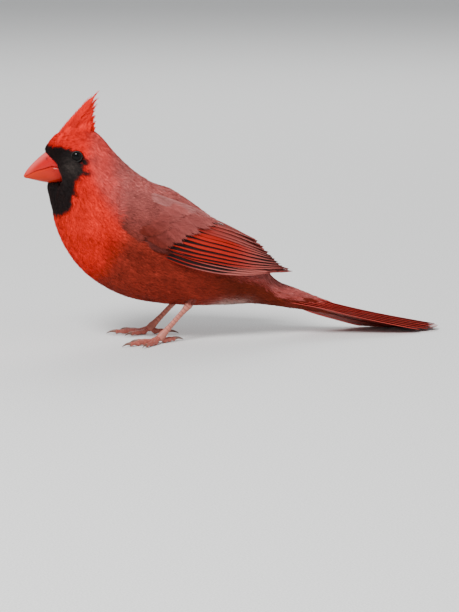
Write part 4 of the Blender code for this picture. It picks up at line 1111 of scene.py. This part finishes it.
def add_thigh_coat(material):
    for side, hand in SIDES:
        thigh = Surface(thigh_rings(hand, -0.1))
        row, column = thigh.scattered(THIGH_TUFTS)
        keep = row < thigh.rows - 2.6
        row, column = row[keep], column[keep]
        length = 3.2 - 1.6 * row / thigh.rows
        tone = mixed(BELLY_DULL_AND_SHADE, VENT * 0.6, 0.25 * row / thigh.rows) * rng.normal(1, 0.12, (len(row), 1))
        mass = Mass()
        tufts(mass, thigh, row, column, 0, length, length * 0.5, 0.5, 0, tone)
        mass.piece(f"coat_thigh_{side}", "body_feathers", material)


def add_bristles(material):
    """The stiff black bristles at the corners of the mouth."""
    mass = Mass()
    for _, hand in SIDES:
        for i in range(BRISTLES):
            root = on_side(BRISTLE_ROOT + i * BRISTLE_ROOT_STEP, hand)
            aim = on_side(BRISTLE_AIM + i * BRISTLE_AIM_STEP, hand) * rng.normal(1, 0.12)
            t = np.linspace(0, 1, 7)[:, None]
            line = turned(root + aim * t - np.array((0, 0, 0.6)) * t**2)
            thin = BRISTLE_THICK * (1 - 0.9 * t[:, 0])
            mass.tube(rings_along(line, thin, thin, 5), BLACK)
    mass.piece("bristles", "head_feathers", material)


def add_crest():
    """The crest, feather by feather, from the crown up to its point."""
    rows = [(*row, CREST_ROOT_SIDE * (1 - 0.08 * index), CREST_TIP_SIDE, CREST_BOW)
            for index, row in enumerate(CREST_ROWS)]
    rows = [*rows, *((*row, 0) for row in CREST_SIDES)]
    t = np.linspace(0, 1, 9)[:, None]
    place = cells(2 * sum(row[4] for row in rows))
    mass = Mass()
    for root_a, root_b, tip_a, tip_b, number, width, root_side, tip_side, curve in rows:
        for i in range(number):
            share = i / (number - 1)
            root, tip = between(root_a, root_b, share), between(tip_a, tip_b, share**0.85)
            tip = tip + rng.normal(0, 0.5, 2)
            for hand in (-1, 1):
                side = hand * (root_side * (1 - t) + tip_side * t) + rng.normal(0, 0.25) * t
                flat = between(root, tip, t)
                bow = curve * np.linalg.norm(tip - root) * np.sin(pi * t)
                ahead = np.array((tip[1] - root[1], root[0] - tip[0]))
                flat = flat - bow * ahead / np.linalg.norm(ahead)
                line = np.column_stack([flat[:, :1], side, flat[:, 1:]])
                ups = np.array((-0.35, hand * 1.0, 0.25)) + 0 * line
                line, cell, lively = turned(line), next(place), rng.normal(1, 0.07)

                def colour(along, aside, lively=lively):
                    return RED * (lively * (0.66 + 0.4 * smooth_step(along * 1.5)))[..., None]

                small = 0.6 + 0.4 * min(1, np.linalg.norm(tip - root) / 16)
                vane(mass, line, ups, width * small * 0.72, colour, cell, thick=0.2)
                plume(mass, line, ups, width * small, colour, 46, cell, swing=0.26, fine=0.065)
    mass.piece("crest", "head_feathers", finish("feathers", "crest"))


def worn(tone, t, start, share):
    """A feather's colour with a dull end."""
    return mixed(tone, COVERT * 0.7, share * ramp(t, start, 1 - start))


def wing_colour(name, share):
    """A wing feather's colour over its length t and across it s, -1 at the outer edge. Share is
    0 for the lowest feather of a row and 1 for the highest."""
    lively = rng.normal(1, 0.05)

    def primary(t, s):
        edge = mixed(OUTER_WEB * 0.8, PRIMARY_EDGE, ramp(t, 0.2, 0.25))
        tone = mixed(edge, INNER_WEB, smooth_step((s + 0.88 - 0.3 * ramp(t, 0.4, 0.4)) / 0.12))
        return worn(tone, t, 0.84, 0.7) * lively

    def secondary(t, s):
        edge = mixed(OUTER_WEB, PRIMARY_EDGE * 0.9, ramp(t, 0.5, 0.4))
        inside = s + 0.16 + 0.20 * t + 0.22 * t**2 + DARK_BELOW * (1 - share) ** 2 * (1 - t)
        return worn(mixed(edge, INNER_WEB, smooth_step(inside / 0.10)), t, 0.84, 0.6) * lively

    def tertial(t, s):
        edge = mixed(OUTER_WEB * 0.75, COVERT_EDGE * 0.8, smooth_step(t * 1.2))
        inside = smooth_step((s + 0.55 + 0.2 * t) / 0.3)
        web = mixed(TERTIAL, TERTIAL * 0.6, bell(s, 0.16))
        return mixed(mixed(edge, web, inside), COVERT_EDGE, ramp(t, 0.93, 0.07)) * lively

    def covert(t, s):
        rim = np.maximum(ramp(np.abs(s), 0.4, 0.6), ramp(t, 0.72, 0.28))
        # Painted shade and light: the row's lower coverts darker, its upper ones paler, over their own
        # tone
        centre = mixed(COVERT_LOW_SHADED, COVERT_HIGH_LIT, share) if name != "scapulars" else SCAPULAR
        centre = centre * (0.5 if name == "primary_coverts" else 1.0)
        tone = mixed(centre, centre * COVERT_RIM, (0.4 if name == "greater_coverts" else 0.8) * rim)
        return mixed(tone, DOWN, 0.5 * ramp(t, 0.4, -0.4)) * lively

    return {"primaries": primary, "secondaries": secondary, "tertials": tertial}.get(name, covert)


def wing_line(name, i, share):
    """The shaft of a row's feather from root to tip, and the directions up from it."""
    roots, tips, _, _, _, lifts, _, sags = WING_ROWS[name]
    flight = name in FLIGHT_ROWS
    root, tip = (spline(ends, share * (len(ends) - 1)) for ends in (roots, tips))
    if not flight:
        root, tip = root + rng.normal(0, 0.3, 2), tip + rng.normal(0, 0.55, 2)
    t = np.linspace(0, 1, FLIGHT_STEPS if flight else COVERT_STEPS)
    drop = between(*sags, share) * np.linalg.norm(tip - root)
    flat = between(root, tip, t[:, None]) - np.column_stack([0 * t, drop * np.sin(pi * t)])
    lift = between(*lifts, smooth_step(t / 0.5))
    line, ups = on_bed(flat, lift + (SHINGLE_STEP * i if flight else COVERT_STEP * (i % 2)))
    if flight:
        straight = int(STRAIGHT_FROM * len(t))
        ahead = line[straight] - line[straight - 1]
        line[straight:] = line[straight] + ahead * np.arange(len(t) - straight)[:, None]
        ups[straight:] = ups[straight]
    return line, ups


def add_wings():
    """Both folded wings: firm flight feathers, softer coverts, and tufts at the front."""
    firm_material = finish("feathers", "flight", 0.5, vaned=True)
    soft_material = finish("feathers", "coverts", vaned=True)
    for side, hand in SIDES:
        firm, soft, place = Mass(), Mass(), cells(sum(row[2] for row in WING_ROWS.values()))
        for name, (_, _, number, widths, below, _, dip, _) in WING_ROWS.items():
            for i in range(number):
                share = i / (number - 1)
                line, ups = wing_line(name, i, share)
                width, colour, cell = between(*widths, share), wing_colour(name, share), next(place)
                if name in FLIGHT_ROWS:
                    vane(firm, line, ups, width, colour, cell, below, dip, -SHINGLE, **BLADES[name])
                else:
                    vane(soft, line, ups, width * 0.9, colour, cell, below, 0, 0.3, 0.2, round_from=0.55)
                    plume(soft, line, ups, width, colour, 44, cell, 0.26, 0.07, below, 0.34, beyond=0.05)
        shoulder_tufts(soft)
        for mass in (firm, soft) if hand > 0 else ():
            mass.mirror()
        firm.piece(f"flight_feathers_{side}", "wing_feathers", firm_material, f"wing_{side}")
        soft.piece(f"wing_coverts_{side}", "wing_feathers", soft_material)


def shoulder_tufts(mass):
    """The small feathers over the front of the left wing."""
    grid = wing_grid(0.2, *SHOULDER_ENDS, 50, 40)
    edge = np.sin(np.linspace(0.06, 0.94, 40) * pi) ** 0.35
    front = 0.35 + 0.65 * smooth_step(np.linspace(0, 50 / 12, 50))
    shoulder = Surface(on_bed(grid, SHOULDER_LIFT * front[:, None] * edge[None, :])[0], closed=False)
    row, column = shoulder.scattered(SHOULDER_TUFTS)
    column = np.clip(column, 0, shoulder.columns - 1.001)
    place = shoulder.read(shoulder.points, row, column)
    length = 4.4 + 1.4 * row / shoulder.rows
    front = 0.6 * bell(row, 7)
    level = column / shoulder.columns
    beside = plumage(place, 1.3 * level - 0.3)
    # Painted shade and light: darker low on the wing, paler high up, over their own tone
    own = mixed(COVERT_LOW_SHADED, COVERT_HIGH_LIT, level) * (1 + 0.20 * mottle(place, 3.4, 11))[:, None]
    tone, tips = mixed(own, beside, front), mixed(own * COVERT_RIM, beside, front)
    tone = tone * rng.normal(1, 0.06, (len(row), 1))
    turn = rng.normal(0.05, 0.08, len(row))
    tufts(mass, shoulder, row, column, turn, length, length * TUFT_WIDTH, 1.4, 0.1, tone, tips)


def add_tail(body, stations):
    """Twelve tail feathers, the middle pair on top, and the coverts over their roots."""
    t = np.linspace(0, 1, 40)
    mass, place = Mass(), cells(12)
    for (_, hand), leans in zip(SIDES, TAIL_LEAN):
        for i, length in enumerate(TAIL_LENGTHS):
            along = between(TAIL_START, length, t)
            start, _, right, up = tail_frame(along)
            side = hand * (TAIL_GAP + i * between(*TAIL_SPREAD, t)) + leans[i] * t**2
            level = -TAIL_STEP * (i + 0.5 * (hand > 0)) - TAIL_ARCH * side**2 * t
            line = start + right * side[:, None] + up * level[:, None]
            tilt = normalised(up + right * (2 * TAIL_ARCH * side * t)[:, None])
            below = 0.5 + hand * (0.5 - TAIL_OUTER_SHARE) * min(i, 1)
            lively = rng.normal(1, 0.05)

            def colour(share, aside, hand=hand, i=i, lively=lively):
                outer = aside * hand if i else np.abs(aside) - 0.3
                tone = mixed(TAIL_UNDER, TAIL_RED, ramp(outer, -0.15, 0.5))
                tone = mixed(tone, TAIL_EDGE, ramp(outer, 0.72, 0.2))
                tone = mixed(tone, DOWN, 0.8 * bell(aside, 0.09))
                return worn(tone, share, 0.9, 0.5) * lively

            width = TAIL_WIDTH * (1 - 0.03 * i)
            vane(mass, line, tilt, width, colour, next(place), below, 0, 0.2, root=0.42)
    mass.on_floor()
    mass.piece("tail_feathers", "tail_feathers", finish("feathers", "tail", 0.5, vaned=True), "tail")
    add_tail_coverts(body, stations)


def add_tail_coverts(body, stations):
    """The long soft coverts that end over and under the tail's root."""
    place = cells(sum(row[3] for row in TAIL_COVERT_ROWS))
    mass = Mass()
    for start, length, middle, number, tint in TAIL_COVERT_ROWS:
        row = np.interp(start, stations, np.arange(len(stations)))
        for i in range(number):
            share = (i + 0.5) / number * 2 - 1
            angle = middle + share * TAIL_COVERT_FAN + rng.normal(0, 0.05)
            steps = np.linspace(0, 1, 12)
            reach = length * (1 - 0.15 * abs(share)) * rng.normal(1, 0.05)
            rows = row + reach * steps / body.read(body.along, row, 0)
            column = np.full(len(steps), angle / (2 * pi) * body.columns)
            up = body.read(body.normals, np.minimum(rows, body.rows - 1), column)
            high = -0.9 + 1.2 * smooth_step(steps * 2)
            line = body.read(body.points, rows, column) + up * high[:, None]
            lively = rng.normal(1, 0.06)

            def colour(t, s, tint=tint, lively=lively):
                tone = mixed(tint * 0.7, tint, smooth_step(t * 1.5))
                return mixed(tone, DOWN, 0.3 * bell(s, 0.08)) * lively

            cell = next(place)
            vane(mass, line, up, 4.6, colour, cell, crown=0.4, thick=0.2)
            plume(mass, line, up, 5.8, colour, 40, cell, swing=0.3, fine=0.08, crown=0.5)
    mass.on_floor()
    mass.piece("tail_coverts", "tail_feathers", finish("feathers", "tail_coverts", vaned=True))


def bill_section(u):
    """Culmen, mouth line, lower edge and half width of the bill at a station from its tip."""
    culmen_x, culmen_z, mouth_x, mouth_z, keel_x, keel_z, half = spline(BILL, u)
    places = (np.array((x, 0, z)) for x, z in ((culmen_x, culmen_z), (mouth_x, mouth_z), (keel_x, keel_z)))
    return *places, half + BILL_FLARE * ramp(u, 3, 2)


def bill_rings(upper, rows=64, columns=41):
    """Rings of one half of the bill, arched over the mouth line or hung under it."""
    rings = []
    for u in np.linspace(0, 1, rows) ** 1.25 * (len(BILL) - 1):
        culmen, mouth, keel, half = bill_section(u)
        far = culmen if upper else keel
        out = normalised(far - mouth)
        mouth = mouth + out * MOUTH_GAP / 2
        tall = np.linalg.norm(far - mouth)
        angle = np.radians(np.linspace(-90, 90, columns))
        side = np.sin(angle) * half
        rise = np.maximum(np.cos(angle), 0) ** (0.9 if upper else 0.7)
        ring = mouth + np.outer(rise, far - mouth) + np.outer(side, (0, 1, 0))
        inner = np.linspace(0.75, -0.75, 7)
        floor = mouth + np.outer(1 - inner**2, out) * min(0.25 * half, 0.35 * tall)
        rings.append(np.concatenate([ring, floor + np.outer(inner * half, (0, 1, 0))]))
    return turned(rings)


def add_bill():
    """The two halves of the bill, with nostrils, over a dark lining."""
    for name, upper in (("upper", True), ("lower", False)):
        rings = bill_rings(upper)
        rows = np.linspace(0, 1, len(rings))[:, None]
        low = (rings[..., 2].max(1, keepdims=True) - rings[..., 2]) / 14
        redness = 0.25 + 0.8 * rows + (0.2 if upper else -0.2) - 0.5 * low
        # Painted shade: the lower half darker
        tone = mixed(BILL_ORANGE, BILL_RED, smooth_step(redness)) * (1 if upper else BILL_SHADE)
        # At the base: partly its own crimson, partly painted shade by the feathers
        tone = mixed(tone, tone * BILL_BASE, ramp(rows, 0.86, 0.14))
        # Painted highlight: the upper mandible paler along its ridge, from its middle to its base
        ridge_highlight = smooth_step(1 - low / 0.2) * smooth_step(rows / 0.5) * (0.5 if upper else 0)
        tone = mixed(tone, BILL_RIDGE_HIGHLIGHT, ridge_highlight)
        for hand in (-1, 1) if upper else ():
            middle = turned(on_side(NOSTRIL_MIDDLE, hand))
            pit = bell(np.linalg.norm(rings - middle, axis=-1), NOSTRIL_SIZE)
            tone = mixed(tone, BLACK * 2, pit)
            rings = rings - np.array((0, hand * NOSTRIL_DEEP, 0)) * pit[..., None]
        Mass().tube(rings, tone).piece(f"bill_{name}_horn", "bill", finish("bill", name), f"bill_{name}")
    lining, angle = [], circle(20)
    for u in np.linspace(0.3, len(BILL) - 1, 16):
        _, (x, _, z), _, half = bill_section(u)
        side = half * 0.86
        lining.append(np.column_stack([x + 0 * angle, side * np.cos(angle), z + 0.5 * np.sin(angle)]))
    material = plain_finish("mouth", MOUTH_COLOUR, 0.6)
    Mass().tube(turned(lining), BLACK * 2).piece("mouth_lining", "bill", material)


def add_eyes():
    """The eyeballs and the lids round them."""
    for side, hand in SIDES:
        middle = eye_place(hand)
        out = normalised(turned(on_side(EYE_FACING, hand)) - turned(np.zeros(3)))
        across = normalised(np.cross(out, (0.0, 0.0, 1.0)))
        high = np.cross(across, out)

        def on_eye(polar, turn, radius):
            polar, turn, radius = np.broadcast_arrays(polar, turn, radius)
            spoke = np.cos(turn)[..., None] * across + np.sin(turn)[..., None] * high
            return middle + radius[..., None] * (np.cos(polar)[..., None] * out
                                                 + np.sin(polar)[..., None] * spoke)

        turn = circle(64)
        polar = np.linspace(0.02, pi - 0.02, 48)[:, None]
        iris = ramp(polar, PUPIL, 0.05) + 0 * turn
        ball = Mass().tube(on_eye(polar, turn, EYE_RADIUS), mixed(PUPIL_BLACK, IRIS, iris))
        ball.piece(f"eyeball_{side}", "eye", finish("eye", side), f"eye_{side}")
        turn = np.append(turn, turn[0])[:, None]
        opening = between(LID_WIDE, LID_TALL, np.sin(turn) ** 2)
        back, high_up = np.array(LID_SECTION).T
        puckered = LID_PUCKER * np.sin(turn * LID_FOLDS) * (high_up > 0.2)
        rings = on_eye(opening + np.radians(back), turn, EYE_RADIUS + high_up + puckered)
        lids = Mass().tube(rings, LID_GREY, capped=False)
        lids.piece(f"eyelids_{side}", "head_feathers", finish("lids", side))


def toe_line(side, hand, toe, share):
    """A point on a toe's middle line: it leaves the foot and comes down to the floor."""
    direction, length, _, radius = TOES[toe]
    yaw = direction + FOOT_YAW[side]
    heading = np.array((-cos(yaw), hand * sin(yaw), 0))
    start = on_side(FOOT, hand)
    height = radius * TOE_HEIGHT + (start[2] - radius * TOE_HEIGHT) * (1 - smooth_step(share / 0.35))
    return np.array((*(start + heading * length * share)[:2], height))


def scutes(rings, period, depth):
    """Overlapping plates round a limb, as a saw along its rows: heights and darkness."""
    rows = len(rings)
    phase = (np.arange(rows) / period) % 1
    return depth * (phase - 0.5), bell(phase, 0.22)


def add_legs():
    for side, hand in SIDES:
        add_shank(side, hand)
        add_foot(side, hand)
        add_claws(side, hand)


def leg_tone(rings, dark):
    tone = mixed(LEG_PINK, LEG_DARK, np.clip(dark, 0, 1))
    return tone * (1 + 0.12 * mottle(rings, 1.6, 8))[..., None]


def add_shank(side, hand):
    share = np.linspace(-0.05, SHANK_END, 90)
    line = np.array([leg_line(hand, s) for s in share])
    at = np.clip(share / SHANK_END, 0, 1) * 4
    step, dark = scutes(line, 9.0, 0.10)
    rings = rings_along(line, spline(SHANK_DEEP, at) + step, spline(SHANK_WIDE, at) + step, LEG_SIDES)
    front = 0.5 + 0.5 * np.cos(circle(LEG_SIDES))
    mass = Mass().tube(rings, leg_tone(rings, dark[:, None] * (0.35 + 0.5 * front)))
    mass.piece(f"tarsus_{side}", "leg_skin", finish("leg", f"tarsus_{side}"), f"shank_{side}")


def add_foot(side, hand):
    mass = Mass()
    share = np.linspace(SHANK_END, FOOT_AT[-1], 24)
    line = np.array([leg_line(hand, s) for s in share])
    swell = 1 + 0.10 * np.sin(np.linspace(0, pi, 24))
    deep = np.interp(share, FOOT_AT, FOOT_DEEP) * swell
    rings = rings_along(line, deep, deep * FOOT_FLAT, LEG_SIDES)
    mass.tube(rings, leg_tone(rings, np.full(rings.shape[:2], 0.15)))
    for toe, (_, length, _, radius) in TOES.items():
        rows = int(length * TOE_RINGS)
        share = np.linspace(0, 1, rows)
        line = np.array([toe_line(side, hand, toe, s) for s in share])
        swell = np.cos(2 * pi * share * (1 + round(length / 6)))
        radii = radius * (1.12 - 0.34 * share)
        step, dark = scutes(line, 5.0, 0.08)
        rings = rings_along(line, radii, radii * FOOT_FLAT, LEG_SIDES)
        upper = smooth_step((rings[..., 2] - line[:, None, 2]) / radius + 0.5)
        out = normalised(rings - line[:, None, :])
        pads = (radius * 0.15 * swell)[:, None] * (1 - 0.6 * upper) + step[:, None] * upper
        rings = rings + out * pads[..., None]
        mass.tube(rings, leg_tone(rings, dark[:, None] * upper * 0.8 + 0.12) * TOE_TINT)
    mass.on_floor()
    mass.piece(f"toes_{side}", "leg_skin", finish("leg", f"toes_{side}"), f"foot_{side}")


def add_claws(side, hand):
    for toe, (_, _, claw, radius) in TOES.items():
        end, before = toe_line(side, hand, toe, 1.0), toe_line(side, hand, toe, 0.9)
        ahead = normalised(end - before)
        t = np.linspace(0, 1, 26)
        start = end - ahead * CLAW_SUNK
        line = start + np.outer(t * claw * 0.98, ahead)
        line[:, 2] = start[2] + CLAW_ARCH * np.sin(pi * t * 0.85) - (start[2] - CLAW_LIFT) * t**1.7
        radii = radius * CLAW_THICK * (1 - 0.88 * t**1.1)
        rings = rings_along(line, radii * 1.15, radii * 0.8, 16)
        tone = mixed(CLAW_BROWN * 1.6, CLAW_BROWN * 0.5, t[:, None] + 0 * rings[..., 0])
        mass = Mass().tube(rings, tone).on_floor()
        mass.piece(f"nail_{side}_{toe}", "claw", finish("claw", f"{side}_{toe}"), f"claw_{side}_{toe}")


def set_inputs(tree, node, inputs):
    """Sets each input of a node to a value, or joins it to another node's output."""
    for name, value in inputs.items():
        if isinstance(value, bpy.types.NodeSocket):
            tree.links.new(value, node.inputs[name])
        else:
            node.inputs[name].default_value = value


def add_node(tree, kind, output, inputs=None, **settings):
    """An output of a new node of this kind."""
    node = tree.nodes.new(f"ShaderNode{kind}")
    for name, value in settings.items():
        setattr(node, name, value)
    set_inputs(tree, node, inputs or {})
    return node.outputs[output]


def new_material(name, roughness):
    """A material with its node tree and its shader."""
    made = bpy.data.materials.new(name)
    made.use_nodes = True
    shader = made.node_tree.nodes["Principled BSDF"]
    shader.inputs["Roughness"].default_value = roughness
    return made, made.node_tree, shader


def noise(tree, scale, detail=3.0, stretch=(1, 1, 1)):
    """Noise in the object's own space, in waves of scale to a metre."""
    place = add_node(tree, "TexCoord", "Object")
    place = add_node(tree, "Mapping", "Vector", {"Vector": place, "Scale": stretch})
    return add_node(tree, "TexNoise", "Fac", {"Vector": place, "Scale": scale, "Detail": detail})


def varied_colour(tree, texture, low, high, barbs=None):
    """The mesh's own colours, lightened and darkened by a texture and by the barbs."""
    own = add_node(tree, "VertexColor", "Color", layer_name="Colour")
    factor = add_node(tree, "MapRange", "Result", {"Value": texture, "To Min": low, "To Max": high})
    if barbs:
        inputs = {0: barbs, 1: BARB_SHADE, 2: factor}
        factor = add_node(tree, "Math", "Value", inputs, operation="MULTIPLY_ADD")
    return add_node(tree, "VectorMath", "Vector", {0: own, "Scale": factor}, operation="SCALE")


def barb_waves(tree):
    """Fine ridges along the barbs of a vane, from -1 to 1."""
    place = add_node(tree, "Attribute", "Fac", attribute_name="Barbs")
    waves = add_node(tree, "Math", "Value", {0: place, 1: 2 * pi / BARB_SPACING}, operation="MULTIPLY")
    return add_node(tree, "Math", "Value", {0: waves}, operation="SINE")


def finish(kind, name, roughness=None, vaned=False):
    """A material of one of the finishes. A vaned one has the ridges of barbs as its relief."""
    usual, grain, shades, relief, others = FINISHES[kind]
    made, tree, shader = new_material(f"{kind}_{name}", roughness or usual)
    barbs = barb_waves(tree) if vaned else None
    inputs = {"Base Color": varied_colour(tree, noise(tree, *grain), *shades, barbs), **others}
    if vaned or relief:
        waves, strength, distance = (None, *BARB_RELIEF) if vaned else relief
        height = barbs if vaned else noise(tree, *waves)
        bump = {"Height": height, "Strength": strength, "Distance": distance}
        inputs["Normal"] = add_node(tree, "Bump", "Normal", bump)
    set_inputs(tree, shader, inputs)
    return made


def plain_finish(name, colour, roughness):
    """A material of one colour that varies a little."""
    made, tree, shader = new_material(name, roughness)
    low, high = ((*(min(1, part * share) for part in colour), 1) for share in (0.7, 1.3))
    inputs = {"Factor": noise(tree, 1200.0), "A": low, "B": high}
    mix = add_node(tree, "Mix", "Result", inputs, data_type="RGBA")
    set_inputs(tree, shader, {"Base Color": mix})
    return made


def add_floor():
    bpy.ops.mesh.primitive_plane_add(size=FLOOR_SIZE)
    floor = bpy.context.object
    floor.name = "floor"
    floor.data.materials.append(plain_finish("floor", FLOOR_COLOUR, 0.85))


def add_lamp(name, place, size, power):
    """A square lamp at a place in millimetres, which faces the bird."""
    lamp = bpy.data.lights.new(name, "AREA")
    lamp.size = size
    lamp.energy = power
    holder = bpy.data.objects.new(name, lamp)
    bpy.context.scene.collection.objects.link(holder)
    holder.location = Vector(place) * MM
    holder.rotation_euler = (Vector(LAMP_AIM) - Vector(place) * MM).to_track_quat("-Z", "Y").to_euler()


def add_stage():
    """The floor, the lamps and the light all round."""
    add_floor()
    for name, settings in LAMPS.items():
        add_lamp(name, *settings)
    world = bpy.data.worlds.new("studio")
    world.use_nodes = True
    around = {"Color": AROUND_COLOUR, "Strength": AROUND_STRENGTH}
    set_inputs(world.node_tree, world.node_tree.nodes["Background"], around)
    bpy.context.scene.world = world


def add_camera():
    """A long lens at the photograph's angle, a little wider so that the raised tail shows."""
    right = np.array((cos(CAMERA_AZIMUTH), sin(CAMERA_AZIMUTH), 0))
    back = np.array((sin(CAMERA_AZIMUTH) * cos(CAMERA_HEIGHT),
                     -cos(CAMERA_AZIMUTH) * cos(CAMERA_HEIGHT), sin(CAMERA_HEIGHT)))
    up = np.cross(back, right)
    target = right * CAMERA_AT[0] + up * CAMERA_AT[1]
    lens = bpy.data.cameras.new("camera")
    lens.sensor_fit = "HORIZONTAL"
    lens.lens = lens.sensor_width * CAMERA_FAR / PICTURE_WIDTH
    lens.clip_end = 50
    camera = bpy.data.objects.new("camera", lens)
    bpy.context.scene.collection.objects.link(camera)
    camera.location = Vector((target + back * CAMERA_FAR) * MM + PLACE)
    camera.rotation_euler = Vector(-back).to_track_quat("-Z", "Y").to_euler()
    bpy.context.scene.camera = camera


def build():
    body, plain, colour, stations = body_surface()
    add_skin(body, plain, colour, stations)
    add_coat(body, plain, colour, stations)
    add_crest()
    add_wings()
    add_tail(body, stations)
    add_bill()
    add_eyes()
    add_legs()
    add_stage()
    add_camera()


build()
